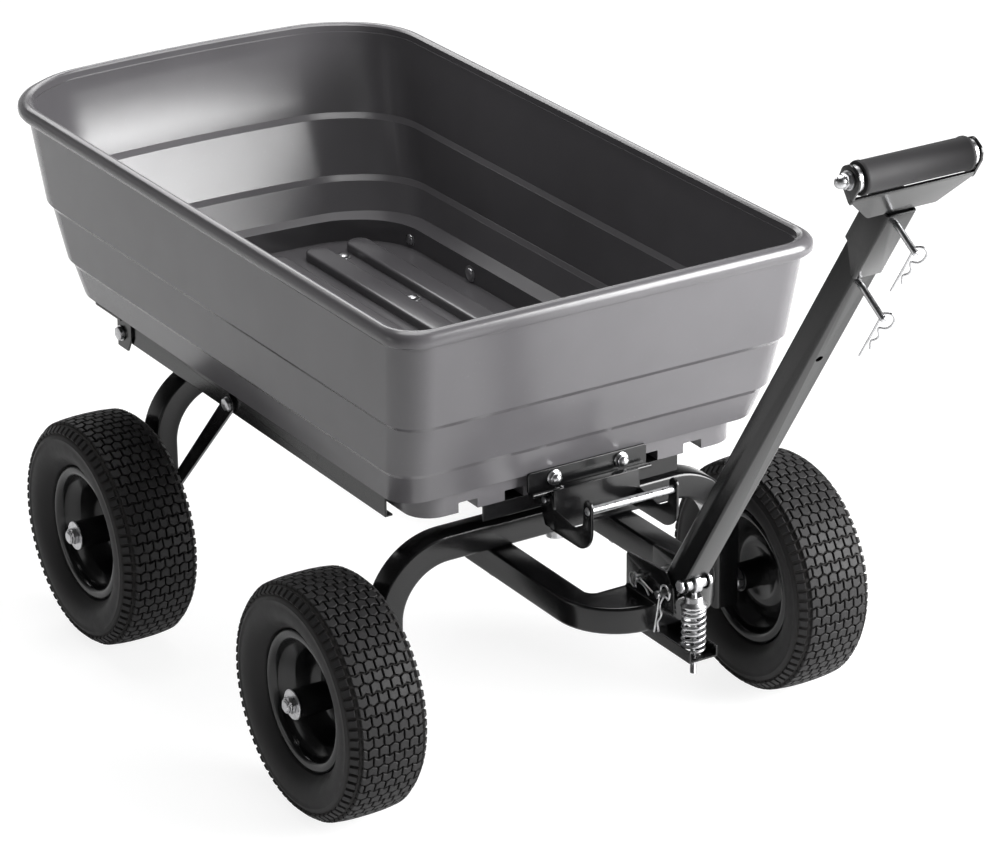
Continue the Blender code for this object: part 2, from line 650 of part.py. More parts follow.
def make_rear_beam(half_width):
    """An upturned channel from rail to rail; its flanges reach down to the rear arch between them."""
    wall = 0.003
    bottom = REAR_ARCH_TOP + SEAT_GAP
    y0, y1 = BEAM_REAR_Y
    section = [(y0, bottom), (y0, BEAM_TOP), (y1, BEAM_TOP), (y1, bottom), (y1 - wall, bottom),
               (y1 - wall, BEAM_TOP - wall), (y0 + wall, BEAM_TOP - wall), (y0 + wall, bottom)]
    beam = piece("rear_cross_beam", flat_mesh([section], 2 * half_width), BLACK, cart, across_x(0))
    for _, side in SIDES:
        ends = sorted((side * (RAIL_OUT - RAIL_DEPTH - SEAT_GAP), side * (half_width + 0.001)))
        boolean(beam, block_mesh(ends, (y0 - 0.001, y1 + 0.001), (bottom - 0.001, BEAM_BOTTOM)), "DIFFERENCE")


def make_brace(name, side):
    """A flat bar from the rail down to the front face of the rear arch's leg."""
    leg_face = REAR_AXLE_Y - TUBE / 2 - SEAT_GAP
    top = Vector((BRACE_TOP_Y, BRACE_TOP_Z))
    foot = Vector((leg_face, BRACE_FOOT_Z))
    run = (foot - top).normalized()
    normal = Vector((-run.y, run.x)) * BRACE_WIDTH / 2
    slope = BRACE_WIDTH / 2 * abs(run.y / run.x) + abs(normal.y)
    upper_left, upper_right = top - run * 0.014 + normal, top - run * 0.014 - normal
    outline = [tuple(upper_right), (leg_face, foot.y - slope / 2 * 1.2), (leg_face, foot.y + slope / 2 * 1.2),
               tuple(upper_left)]
    outline = rounded(outline, [0.010, 0, 0, 0.010], 4)
    hole = circle(top, BOLT_RADIUS + HOLE_GAP)
    middle = RAIL_OUT + SEAT_GAP + BRACE_THICK / 2
    piece("rear_brace_" + name, flat_mesh([outline, hole], BRACE_THICK), BLACK, cart, across_x(side * middle))
    head = RAIL_OUT + 2 * SEAT_GAP + BRACE_THICK
    nut_face = RAIL_OUT - RAIL_WALL - SEAT_GAP
    profile = bolt_profile(BOLT_RADIUS, HEAD_RADIUS, head - nut_face, 0.005, 0.004, 0.008)
    turn = Matrix.Rotation(side * pi / 2, 4, "Y")
    place = Matrix.Translation((side * head, BRACE_TOP_Y, BRACE_TOP_Z)) @ turn
    turned("brace_bolt_" + name, profile, place, ZINC, cart)


def make_arch(name, top, axle_y, carrier):
    """An inverted U of square tube over the axle, open at its lower ends."""
    middle_top = top - TUBE / 2
    foot = AXLE_Z - ARCH_DROP

    def path(end_z):
        corners = [(-ARCH_HALF_SPAN, end_z), (-ARCH_HALF_SPAN, middle_top),
                   (ARCH_HALF_SPAN, middle_top), (ARCH_HALF_SPAN, end_z)]
        return rounded(corners, [0, ARCH_BEND, ARCH_BEND, 0], 6, closed=False)

    arch = piece(name, flat_mesh([band(path(foot), TUBE / 2)], TUBE), BLACK, carrier, across_y(axle_y))
    soften(arch, 0.005, 1)
    hollow = flat_mesh([band(path(foot - 0.01), TUBE / 2 - TUBE_WALL)], TUBE - 2 * TUBE_WALL)
    boolean(arch, hollow, "DIFFERENCE", across_y(axle_y))
    return arch


def make_spindle(name, side, axle_y, carrier):
    """A stub axle on the arch's leg with an inner shoulder, a washer and a castle nut."""
    start = LEG_OUT + SEAT_GAP
    hub_in = WHEEL_X - HUB_HALF - SEAT_GAP
    hub_out = WHEEL_X + HUB_HALF + SEAT_GAP
    length = hub_out - start
    shoulder = hub_in - start
    profile = [(0, length + 0.0145), (0.0085, length + 0.0145), (0.0085, length + 0.0105),
               (0.0120, length + 0.0105), (0.0120, length + WASHER_THICK),
               (WASHER_RADIUS, length + WASHER_THICK), (WASHER_RADIUS, length), (SPINDLE_RADIUS, length),
               (SPINDLE_RADIUS, shoulder), (WASHER_RADIUS, shoulder), (WASHER_RADIUS, 0), (0, 0)]
    place = Matrix.Translation((side * start, axle_y, AXLE_Z)) @ Matrix.Rotation(side * pi / 2, 4, "Y")
    return turned(name, profile, place, ZINC, carrier)


def make_wheel(name, side, axle_y, carrier):
    spin = body(name + "_pivot", (side * WHEEL_X, axle_y, AXLE_Z), carrier)
    half = TYRE_WIDTH / 2
    crown = TYRE_RADIUS / cos(pi / WHEEL_STEPS)
    seat = BEAD_RADIUS
    bore_radius = SPINDLE_RADIUS / cos(pi / WHEEL_STEPS) + HOLE_GAP
    rim = [(bore_radius, HUB_HALF), (HUB_RADIUS, HUB_HALF), (HUB_RADIUS, 0.003), (0.055, -0.004),
           (0.063, 0.018), (seat - 0.003, 0.0445), (RIM_RADIUS - 0.001, 0.0495),
           (RIM_RADIUS, 0.0470), (seat, 0.0415), (0.066, 0.018)]
    rim += [(0.066, -0.018), (seat, -0.0415), (RIM_RADIUS, -0.0470),
            (RIM_RADIUS - 0.001, -0.0495), (seat - 0.003, -0.0445), (0.063, -0.018),
            (0.055, -0.008), (HUB_RADIUS, -0.001), (HUB_RADIUS, -HUB_HALF), (bore_radius, -HUB_HALF)]
    bead = seat + 0.0006
    outer = [(bead, 0.0405), (RIM_RADIUS, 0.0458), (0.125, half), (0.148, half - 0.003),
             (0.1600, half - 0.010), (crown, half - 0.022)]
    inner = [(bead, 0.0340), (0.110, 0.0460), (0.1550, half - 0.020)]
    tyre = outer + [(r, -a) for r, a in outer[::-1]] + [(r, -a) for r, a in inner] + inner[::-1]
    turn = Matrix.Rotation(side * pi / 2, 4, "Y") @ Matrix.Rotation(pi / WHEEL_STEPS, 4, "Z")
    place = Matrix.Translation((side * WHEEL_X, axle_y, AXLE_Z)) @ turn
    turned(name + "_tyre", tyre, place, RUBBER, spin, closed=True, steps=WHEEL_STEPS)
    turned(name + "_rim", rim, place, BLACK, spin, closed=True, steps=WHEEL_STEPS)


def make_latch():
    wall = 0.004
    front = PAN_FRONT - SEAT_GAP
    lug_x = LATCH_EAR_X - 0.008
    bottom, shelf, top = LATCH_Z - 0.016, LATCH_Z + 0.0025, LATCH_Z + 0.0085
    lug = rounded([(front, bottom), (front, shelf), (front - 0.003, shelf), (front - 0.003, top),
                   (LATCH_Y - 0.0095, top), (LATCH_Y - 0.0095, bottom + 0.0065), (LATCH_Y + 0.004, bottom)],
                  [0, 0, 0, 0, 0.004, 0.004, 0], 3)
    hole = circle((LATCH_Y, LATCH_Z), LATCH_ROD_RADIUS + SEAT_GAP)
    bracket = piece("latch_bracket", flat_mesh([lug, hole], wall), BLACK, cart, across_x(-lug_x))
    back = block_mesh((-lug_x, lug_x), (front - 0.0035, front - 0.0005), (bottom + 0.001, shelf - 0.001))
    boolean(bracket, back, "UNION")
    boolean(bracket, flat_mesh([lug, hole], wall), "UNION", across_x(lug_x))
    rod_half = LATCH_EAR_X + LATCH_EAR_THICK + 0.004
    rod = [(0, rod_half), (LATCH_ROD_RADIUS, rod_half), (LATCH_ROD_RADIUS, -rod_half), (0, -rod_half)]
    turned("latch_pivot_rod", rod, along_x(0, LATCH_Y, LATCH_Z), ZINC, cart, steps=16)

    end_y, end_z = LATCH_BAR_Y, LATCH_BAR_Z
    low = end_z - LATCH_BEND
    curve = rounded([(LATCH_Y - 0.011, low), (end_y, low), (end_y, end_z + 0.006)],
                    [0, LATCH_BEND - 0.001, 0], 6, closed=False)
    strip = band(curve, LATCH_STRIP / 2)
    heel = [(0.0020, -0.0370), (0.0110, -0.0180), (0.0110, 0.0010), (0.0105, 0.0030), (0.0050, 0.0080),
            (-0.0120, 0.0085), (-0.0145, 0.0065), (-0.0210, -0.0210), (-0.0210, -0.0370)]
    heel = [(LATCH_Y + y, LATCH_Z + z) for y, z in heel]
    middle = LATCH_EAR_X + LATCH_EAR_THICK / 2
    ears = None
    for name, side in SIDES:
        place = across_x(side * middle)
        if ears is None:
            ears = piece("latch_lever", flat_mesh([heel], LATCH_EAR_THICK), BLACK, latch_body, place)
        else:
            boolean(ears, flat_mesh([heel], LATCH_EAR_THICK), "UNION", place)
        boolean(ears, flat_mesh([strip], LATCH_EAR_THICK), "UNION", place)
    web_front = LATCH_Y - 0.0175
    top = LATCH_Z + 0.0175
    web = block_mesh((-LATCH_EAR_X - 0.002, LATCH_EAR_X + 0.002), (web_front, web_front + 0.004),
                     (LATCH_Z - 0.036, top))
    boolean(ears, web, "UNION")
    hook = block_mesh((-0.050, 0.050), (web_front + 0.002, web_front + 0.0113), (top - 0.0025, top))
    boolean(ears, hook, "UNION")
    bore(ears, along_x(0, LATCH_Y, LATCH_Z), LATCH_ROD_RADIUS + HOLE_GAP, 0.16)
    bore(ears, along_x(0, LATCH_BAR_Y, LATCH_BAR_Z), LATCH_BAR_RADIUS + SEAT_GAP, 0.16)
    bar_half = LATCH_EAR_X + LATCH_EAR_THICK + 0.001
    bar = [(0, bar_half), (LATCH_BAR_RADIUS, bar_half), (LATCH_BAR_RADIUS, -bar_half), (0, -bar_half)]
    turned("latch_release_bar", bar, along_x(0, LATCH_BAR_Y, LATCH_BAR_Z), ZINC, latch_body, steps=16)


def frame_outline(inset, rear):
    half_out = FRAME_HALF + FRAME_TUBE / 2 - inset
    half_in = FRAME_HALF - FRAME_TUBE / 2 + inset
    front_out = FRAME_OUTER_FRONT + inset
    front_in = FRAME_INNER_FRONT - inset
    outer_bend = FRAME_OUTER_BEND - inset
    inner_bend = FRAME_INNER_BEND + inset
    corners = [(half_out, rear), (half_out, front_out), (-half_out, front_out), (-half_out, rear),
               (-half_in, rear), (-half_in, front_in), (half_in, front_in), (half_in, rear)]
    return rounded(corners, [0, outer_bend, outer_bend, 0, 0, inner_bend, inner_bend, 0], 6)


def make_steering():
    arch = make_arch("front_axle_arch", FRONT_ARCH_TOP, FRONT_AXLE_Y, steering_body)
    bore(arch, Matrix.Translation((0, FRONT_AXLE_Y, FRONT_ARCH_TOP - TUBE / 2)),
         KINGPIN_RADIUS + HOLE_GAP, TUBE + 0.01)
    middle = FRAME_TOP - FRAME_TUBE / 2
    frame = piece("steering_frame", flat_mesh([frame_outline(0, FRAME_REAR)], FRAME_TUBE), BLACK,
                  steering_body, across_z(middle))
    soften(frame, 0.005, 1)
    hollow = flat_mesh([frame_outline(TUBE_WALL, FRAME_REAR + 0.01)], FRAME_TUBE - 2 * TUBE_WALL)
    boolean(frame, hollow, "DIFFERENCE", across_z(middle))
    for name, side in SIDES:
        spot = (side * FRAME_HALF, FRONT_AXLE_Y, FRAME_TOP - FRAME_TUBE / 2)
        bore(frame, Matrix.Translation(spot), BOLT_RADIUS + HOLE_GAP, FRAME_TUBE + 0.01)
        floor = Matrix.Translation((spot[0], spot[1], FRONT_ARCH_TOP - TUBE))
        bore(arch, floor, BOLT_RADIUS + HOLE_GAP, 0.01)
        shank = FRAME_TUBE + 2 * SEAT_GAP + SEAT_GAP + TUBE_WALL + 0.004
        head_face = FRAME_BOTTOM - SEAT_GAP
        profile = bolt_profile(BOLT_RADIUS, HEAD_RADIUS, shank, 0.006)
        place = Matrix.Translation((spot[0], spot[1], head_face)) @ Matrix.Rotation(pi, 4, "X")
        turned("frame_bolt_" + name, profile, place, ZINC, steering_body)
    make_handle_bracket()
    make_tongue()


def make_handle_bracket():
    inner = HANDLE_TUBE / 2 + 0.0006
    base = FRAME_TOP + SEAT_GAP
    rear = HANDLE_Y + 0.087
    outline = [(rear, base), (rear, HANDLE_Z + 0.0245), (HANDLE_Y - 0.004, HANDLE_Z + 0.0305),
               (HANDLE_Y - 0.018, HANDLE_Z + 0.0145), (HANDLE_Y - 0.023, base)]
    rear_pin = (HANDLE_Y + 0.049, HANDLE_Z + 0.0045)
    holes = [circle((HANDLE_Y, HANDLE_Z), BOLT_RADIUS + HOLE_GAP), circle(rear_pin, PIN_RADIUS + HOLE_GAP)]
    middle = inner + BRACKET_PLATE / 2
    mesh = flat_mesh([outline] + holes, BRACKET_PLATE)
    bracket = piece("handle_bracket", mesh, BLACK, steering_body, across_x(-middle))
    boolean(bracket, flat_mesh([outline] + holes, BRACKET_PLATE), "UNION", across_x(middle))
    web = block_mesh((-middle, middle), (HANDLE_Y + 0.039, rear), (base, base + 0.003))
    boolean(bracket, web, "UNION")
    outside = inner + BRACKET_PLATE + SEAT_GAP
    flip = Matrix.Rotation(pi, 4, "Y")
    make_cross_pin("tilt_pin", (HANDLE_Y, HANDLE_Z), BOLT_RADIUS, outside,
                   Matrix.Rotation(radians(12), 4, "Z") @ flip, CLIP_LEG)
    make_cross_pin("stow_pin", rear_pin, PIN_RADIUS, outside, Matrix.Rotation(radians(-74), 4, "Z"),
                   STOW_CLIP_LEG)


def make_cross_pin(name, spot, radius, outside, turn, leg):
    """A headed pin across the handle bracket, with a turned spring clip through its left end."""
    tail = outside + 0.012
    profile = [(0, outside + 0.004), (radius + 0.004, outside + 0.004), (radius + 0.004, outside),
               (radius, outside), (radius, -tail), (0, -tail)]
    pin = turned(name, profile, along_x(0, *spot), ZINC, steering_body, steps=16)
    clip_x = -(outside + 0.006)
    place = across_x(clip_x) @ Matrix.Translation((*spot, 0)) @ turn
    bore(pin, place @ Matrix.Rotation(pi / 2, 4, "X"), CLIP_WIRE + SEAT_GAP, 0.03)
    mesh = wire_mesh(clip_path(radius, leg), CLIP_WIRE)
    piece(name + "_clip", mesh, ZINC, steering_body, place)


def clip_path(pin_radius, leg):
    """A spring clip in its own plane: a straight leg through the pin and a wavy leg past it."""
    beside = pin_radius + CLIP_WIRE + SEAT_GAP + 0.0004
    loop_z = pin_radius + 0.003
    points = [(0, -leg, 0), (0, loop_z, 0)]
    centre = CLIP_LOOP
    for k in range(1, 8):
        angle = pi - k * pi / 6
        points.append((centre + CLIP_LOOP * cos(angle), loop_z + CLIP_LOOP * sin(angle), 0))
    waves = [(beside, -0.003), (0.0040, -0.016), (0.0090, -0.028), (0.0042, -0.042), (0.0085, -0.054)]
    points.append((beside, 0.0015, 0))
    points += [(x, y, 0) for x, y in waves if y > 0.004 - leg]
    return points


def make_tongue():
    """The channel under the steering frame that the handle's spring stands on."""
    flange_top = FRAME_BOTTOM - SEAT_GAP
    wall = TONGUE_WALL
    section = [(-TONGUE_HALF, TONGUE_BOTTOM), (TONGUE_HALF, TONGUE_BOTTOM), (TONGUE_HALF, flange_top),
               (TONGUE_HALF - wall, flange_top), (TONGUE_HALF - wall, TONGUE_BOTTOM + wall),
               (-TONGUE_HALF + wall, TONGUE_BOTTOM + wall), (-TONGUE_HALF + wall, flange_top),
               (-TONGUE_HALF, flange_top)]
    tongue = piece("tongue_channel", flat_mesh([section], TONGUE_Y[1] - TONGUE_Y[0]), BLACK, steering_body,
                   across_y((TONGUE_Y[0] + TONGUE_Y[1]) / 2))
    slot = rectangle(-0.0055, 0.0055, SPRING_Y - 0.0125, SPRING_Y + 0.0155)
    slot = rounded(slot, 0.0054, 4)
    boolean(tongue, flat_mesh([slot], 0.02), "DIFFERENCE", across_z(TONGUE_BOTTOM))


def spring_points():
    """The coil, whose ends run straight down and up for one wire diameter."""
    wire = 2 * SPRING_WIRE
    bottom = TONGUE_BOTTOM + TONGUE_WALL + SEAT_GAP
    top = CAP_BOTTOM - SEAT_GAP
    low, high = bottom + wire, top - wire
    count = round(SPRING_TURNS * SPRING_TURN_POINTS)
    points = [(SPRING_MEAN, 0, bottom)]
    for i in range(count + 1):
        angle = 2 * pi * i / SPRING_TURN_POINTS
        points.append((SPRING_MEAN * cos(angle), SPRING_MEAN * sin(angle), low + (high - low) * i / count))
    points.append((points[-1][0], points[-1][1], top))
    return [(x, SPRING_Y + y, z) for x, y, z in points]


def least_gap(points, radius, skip):
    """The smallest distance between turns of a coil, wire face to wire face."""
    least = 1.0
    for i, first in enumerate(points):
        for second in points[i + skip:]:
            distance = hypot(first[0] - second[0], first[1] - second[1], first[2] - second[2])
            least = min(least, distance - 2 * radius)
    return least


def make_spring():
    eye = circle((SPRING_Y, SPRING_EYE_Z), EYE_RADIUS, 16)
    hole = circle((SPRING_Y, SPRING_EYE_Z), SLEEVE_RADIUS + SEAT_GAP, 16)
    rod = piece("spring_rod", flat_mesh([eye, hole], 2 * EYE_HALF), ZINC, spring_body, across_x(0))
    top = SPRING_EYE_Z - SLEEVE_RADIUS - 0.0025
    shaft = cylinder_mesh(ROD_RADIUS, top - ROD_END_Z, 12)
    boolean(rod, shaft, "UNION", Matrix.Translation((0, SPRING_Y, (top + ROD_END_Z) / 2)))
    bore_radius = ROD_RADIUS / cos(pi / 12) + SEAT_GAP
    cap = [(bore_radius, CAP_TOP), (0.0110, CAP_TOP), (0.0120, CAP_TOP - 0.004), (0.0172, CAP_BOTTOM + 0.003),
           (0.0172, CAP_BOTTOM), (bore_radius, CAP_BOTTOM)]
    turned("spring_cap", cap, Matrix.Translation((0, SPRING_Y, 0)), ZINC, spring_body, closed=True)
    points = spring_points()
    gap = least_gap(points, SPRING_WIRE, SPRING_TURN_POINTS // 2)
    print("handle spring: least gap between turns %.2f mm" % (gap * 1000))
    piece("handle_spring", wire_mesh(points, SPRING_WIRE), ZINC, spring_body)


def make_handle():
    half = HANDLE_TUBE / 2
    outer = rounded(rectangle(-half, half, -half, half), 0.003, 1)
    wall = half - HANDLE_WALL
    inner = rectangle(-wall, wall, -wall, wall)
    length = HANDLE_LENGTH + HANDLE_FOOT
    middle = (HANDLE_LENGTH - HANDLE_FOOT) / 2
    tube = piece("handle_tube", flat_mesh([outer, inner], length), BLACK, handle_body, on_handle(middle))
    mouth = block_mesh((0.001 - wall, wall - 0.001), (-0.03, -0.004), (-0.02, 0.052))
    boolean(tube, mouth, "DIFFERENCE", on_handle(0))
    sleeve_spot = (SPRING_Y, SPRING_EYE_Z)
    to_pin = (HANDLE_Y, HANDLE_Z)
    cheek = circle(sleeve_spot, 0.0115, 16)
    for name, side in SIDES:
        place = across_x(side * (wall + HANDLE_WALL / 2 - 0.0003))
        boolean(tube, flat_mesh([cheek], HANDLE_WALL), "UNION", place)
    bore(tube, along_x(0, *sleeve_spot), BOLT_RADIUS + HOLE_GAP, 0.06)
    bore(tube, along_x(0, *to_pin), BOLT_RADIUS + HOLE_GAP, 0.06)
    bore(tube, handle_cross(HANDLE_HOLE), PIN_RADIUS + 0.001, 0.06)
    bore(tube, handle_cross(PIN_SPOTS[0]), PIN_RADIUS + HOLE_GAP, 0.06)

    head = half + SEAT_GAP
    sleeve = [(0, head + 0.005), (0.0085, head + 0.005), (0.0085, head), (BOLT_RADIUS, head),
              (BOLT_RADIUS, SLEEVE_HALF), (SLEEVE_RADIUS, SLEEVE_HALF), (SLEEVE_RADIUS, -SLEEVE_HALF),
              (BOLT_RADIUS, -SLEEVE_HALF), (BOLT_RADIUS, -head), (0.0085, -head), (0.0085, -head - 0.005),
              (0, -head - 0.005)]
    turned("spring_cross_bolt", sleeve, along_x(0, *sleeve_spot), ZINC, handle_body, steps=16)
    make_clevis()
    make_yoke()
    for name, reach, tail in zip(("lower", "upper"), PIN_SPOTS, PIN_TAILS):
        make_pull_pin(name, reach, tail)


def make_clevis():
    """The sleeve round the top of the handle tube, cut on a slope at its sides."""
    half = CLEVIS_TUBE / 2
    inside = HANDLE_TUBE / 2 + 0.0004
    low, high = CLEVIS_SPAN
    section = [rounded(rectangle(-half, half, -half, half), 0.003, 1),
               rectangle(-inside, inside, -inside, inside)]
    clevis = piece("handle_clevis", flat_mesh(section, high - low), BLACK, handle_body,
                   on_handle((low + high) / 2))
    slope = [(-half - 0.01, low - 0.02), (half + 0.01, low - 0.02), (half + 0.01, low + CLEVIS_SLOPE),
             (inside - 0.004, low + CLEVIS_SLOPE), (-inside, low - 0.001), (-half - 0.01, low - 0.001)]
    spots = [handle_spot(rear, reach) for rear, reach in slope]
    boolean(clevis, flat_mesh([spots], 0.1), "DIFFERENCE", across_x(0))
    bore(clevis, handle_cross(PIN_SPOTS[1]), PIN_RADIUS + HOLE_GAP, 0.06)


def make_yoke():
    """The grip's bracket: a hollow stem, a trapezoid web and two ears for the grip bolt."""
    half = STEM_TUBE / 2
    wall = half - HANDLE_WALL
    low, high = STEM_SPAN
    section = [rectangle(-half, half, -half, half), rectangle(-wall, wall, -wall, wall)]
    yoke = piece("grip_yoke", flat_mesh(section, high - low), BLACK, handle_body, on_handle((low + high) / 2))
    bottom, top = YOKE_WEB_SPAN
    web = [(-YOKE_FOOT_HALF, bottom), (YOKE_FOOT_HALF, bottom), (YOKE_HALF, top), (YOKE_HALF, top + 0.004),
           (-YOKE_HALF, top + 0.004), (-YOKE_HALF, top)]
    spot = Vector((0, HANDLE_Y, HANDLE_Z)) - (YOKE_WEB_FRONT - YOKE_THICK / 2) * BEHIND_HANDLE
    turn = Matrix((Vector((1, 0, 0)), ALONG_HANDLE, -BEHIND_HANDLE)).transposed()
    boolean(yoke, flat_mesh([web], YOKE_THICK), "UNION", Matrix.Translation(spot) @ turn.to_4x4())
    ear = [(-YOKE_WEB_FRONT, top - 0.003), (-YOKE_WEB_FRONT + YOKE_THICK, top - 0.003),
           (0.014, GRIP_REACH - 0.010), (0.017, GRIP_REACH), (0.012, GRIP_REACH + 0.012),
           (0, GRIP_REACH + 0.017), (-0.012, GRIP_REACH + 0.012), (-YOKE_WEB_FRONT, GRIP_REACH)]
    ear = [handle_spot(rear, reach) for rear, reach in ear]
    for name, side in SIDES:
        boolean(yoke, flat_mesh([ear], YOKE_THICK), "UNION", across_x(side * (YOKE_HALF - YOKE_THICK / 2)))
    bore(yoke, along_x(0, grip_y, grip_z), GRIP_BOLT_RADIUS + HOLE_GAP, 0.2)
    for reach in PIN_SPOTS:
        bore(yoke, handle_cross(reach), PIN_RADIUS + HOLE_GAP, 0.06)
    washer = GRIP_HALF + SEAT_GAP
    ear_in = YOKE_HALF - YOKE_THICK - SEAT_GAP
    ear_out = YOKE_HALF + SEAT_GAP
    radius = GRIP_BOLT_RADIUS
    bolt = [(0, ear_out + 0.006), (0.010, ear_out + 0.006), (0.010, ear_out), (radius, ear_out),
            (radius, ear_in), (0.016, ear_in), (0.016, washer), (radius, washer), (radius, -washer),
            (0.016, -washer), (0.016, -ear_in), (radius, -ear_in), (radius, -ear_out), (0.0105, -ear_out),
            (0.0105, -ear_out - 0.010), (0.007, -ear_out - 0.020), (0, -ear_out - 0.023)]
    turned("grip_bolt", bolt, along_x(0, grip_y, grip_z), ZINC, handle_body)
    hollow = GRIP_BOLT_RADIUS / cos(pi / CIRCLE_STEPS) + HOLE_GAP
    grip = [(hollow, GRIP_HALF), (GRIP_RADIUS - 0.002, GRIP_HALF), (GRIP_RADIUS, GRIP_HALF - 0.003),
            (GRIP_RADIUS, -GRIP_HALF + 0.003), (GRIP_RADIUS - 0.002, -GRIP_HALF), (hollow, -GRIP_HALF)]
    turned("grip", grip, along_x(0, grip_y, grip_z), GRIP, grip_body, closed=True)


def make_pull_pin(name, reach, past):
    """A quick-release pin through the handle from behind, with its clip at the front end."""
    half = (CLEVIS_TUBE if reach > CLEVIS_SPAN[0] else HANDLE_TUBE) / 2
    head = half + SEAT_GAP
    tail = half + past
    profile = [(0, head + 0.004), (0.008, head + 0.004), (0.008, head), (PIN_RADIUS, head),
               (PIN_RADIUS, -tail), (0, -tail)]
    pin = turned("pull_pin_" + name, profile, handle_cross(reach), ZINC, handle_body, steps=16)
    spot = handle_cross(reach) @ Matrix.Translation((0, 0, -tail + 0.006))
    bore(pin, spot @ Matrix.Rotation(pi / 2, 4, "X"), CLIP_WIRE + SEAT_GAP, 0.03)
    flip = Matrix.Rotation(pi, 4, "X")
    mesh = wire_mesh(clip_path(PIN_RADIUS, PULL_CLIP_LEG), CLIP_WIRE)
    piece("pull_clip_" + name, mesh, ZINC, handle_body, spot @ flip)


def shift_to_middle():
    """Move the cart so that its overall box is centred on x = y = 0, and print the joints."""
    graph = bpy.context.evaluated_depsgraph_get()
    low, high = Vector((9, 9, 9)), Vector((-9, -9, -9))
    for ob in parts.objects:
        if ob.type != "MESH":
            continue
        shown = ob.evaluated_get(graph)
        for vert in shown.to_mesh().vertices:
            spot = shown.matrix_world @ vert.co
            low = Vector(min(a, b) for a, b in zip(low, spot))
            high = Vector(max(a, b) for a, b in zip(high, spot))
        shown.to_mesh_clear()
    shift = -(low + high) / 2
    cart.location = (shift.x, shift.y, 0)
    size = high - low
    print("overall box %.4f %.4f %.4f, lowest z %.5f" % (*size, low.z))
    for name, place in body_places.items():
        print("body %s at %.5f %.5f %.5f" % (name, place.x + shift.x, place.y + shift.y, place.z))


make_tub()
make_tub_fittings()
make_chassis()
make_arch("rear_axle_arch", REAR_ARCH_TOP, REAR_AXLE_Y, cart)
make_latch()
make_steering()
make_handle()
make_spring()
for side_name, side_sign in SIDES:
    make_spindle("front_spindle_" + side_name, side_sign, FRONT_AXLE_Y, steering_body)
    make_spindle("rear_spindle_" + side_name, side_sign, REAR_AXLE_Y, cart)
    make_wheel("front_" + side_name, side_sign, FRONT_AXLE_Y, steering_body)
    make_wheel("rear_" + side_name, side_sign, REAR_AXLE_Y, cart)
shift_to_middle()
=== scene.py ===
"""The looks of a garden dump cart: a moulded tub, turf tyres, powder-coated steel, zinc fittings.

Lengths are metres. Y is often given from the middle of the wheelbase, and at() turns it into
the frame's own Y. Seen from the handle looking back, the cart's right side is at -X.
"""

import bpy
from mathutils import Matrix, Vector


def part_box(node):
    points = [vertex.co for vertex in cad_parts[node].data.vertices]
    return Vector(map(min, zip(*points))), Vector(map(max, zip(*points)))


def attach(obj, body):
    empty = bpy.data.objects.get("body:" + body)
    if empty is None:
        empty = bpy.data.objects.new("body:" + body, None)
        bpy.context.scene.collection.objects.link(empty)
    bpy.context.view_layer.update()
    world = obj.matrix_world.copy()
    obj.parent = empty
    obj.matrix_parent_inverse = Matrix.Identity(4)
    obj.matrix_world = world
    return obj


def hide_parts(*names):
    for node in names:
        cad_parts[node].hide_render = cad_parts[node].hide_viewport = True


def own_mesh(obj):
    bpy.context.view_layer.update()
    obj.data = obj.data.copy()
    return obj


bl_info = {
    "name": "Garden Dump Cart",
    "version": (1, 0, 0),
    "blender": (4, 5, 0),
    "location": "View3D > Sidebar > Cart",
    "description": "Builds the looks of a four-wheel garden dump cart round its packed frame",
    "category": "Add Mesh",
}

from contextlib import contextmanager
from math import acos, atan2, cos, hypot, pi, radians, sin, tan

import bmesh
import bpy
from bpy.props import FloatProperty, FloatVectorProperty, IntProperty, PointerProperty
from mathutils import Matrix, Vector

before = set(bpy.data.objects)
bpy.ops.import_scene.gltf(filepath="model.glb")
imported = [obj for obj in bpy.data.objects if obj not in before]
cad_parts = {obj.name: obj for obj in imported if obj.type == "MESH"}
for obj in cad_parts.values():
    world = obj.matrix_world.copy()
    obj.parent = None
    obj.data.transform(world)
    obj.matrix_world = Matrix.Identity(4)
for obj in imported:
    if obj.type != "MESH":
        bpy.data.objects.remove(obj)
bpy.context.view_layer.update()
SIDES = (("left", -1), ("right", 1))


def middle_of(node):
    low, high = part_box(node)
    return (low + high) / 2


MID = (middle_of("front_left_tyre").y + middle_of("rear_left_tyre").y) / 2
WHEEL = middle_of("front_right_tyre")
AXLE_Y = {"front": WHEEL.y - MID, "rear": MID - WHEEL.y}
HANDLE_LEAN = radians(32.6)
ALONG = Vector((0, -sin(HANDLE_LEAN), cos(HANDLE_LEAN)))
BEHIND = Vector((0, cos(HANDLE_LEAN), sin(HANDLE_LEAN)))
TILT_PIN = (-0.599, 0.3415)
STOW_PIN = (TILT_PIN[0] + 0.049, TILT_PIN[1] + 0.0045)
RAIL_OUT = 0.2625
GRIP_SPOT = middle_of("grip")


def at(x, y, z):
    """A point whose y is measured from the middle of the wheelbase."""
    return Vector((x, MID + y, z))


def length(label, words, default):
    return FloatProperty(name=label, description=words, default=default, min=0, unit="LENGTH",
                         precision=4)


def colour(label, words, default):
    return FloatVectorProperty(name=label, description=words, default=default, subtype="COLOR",
                               min=0, max=1)


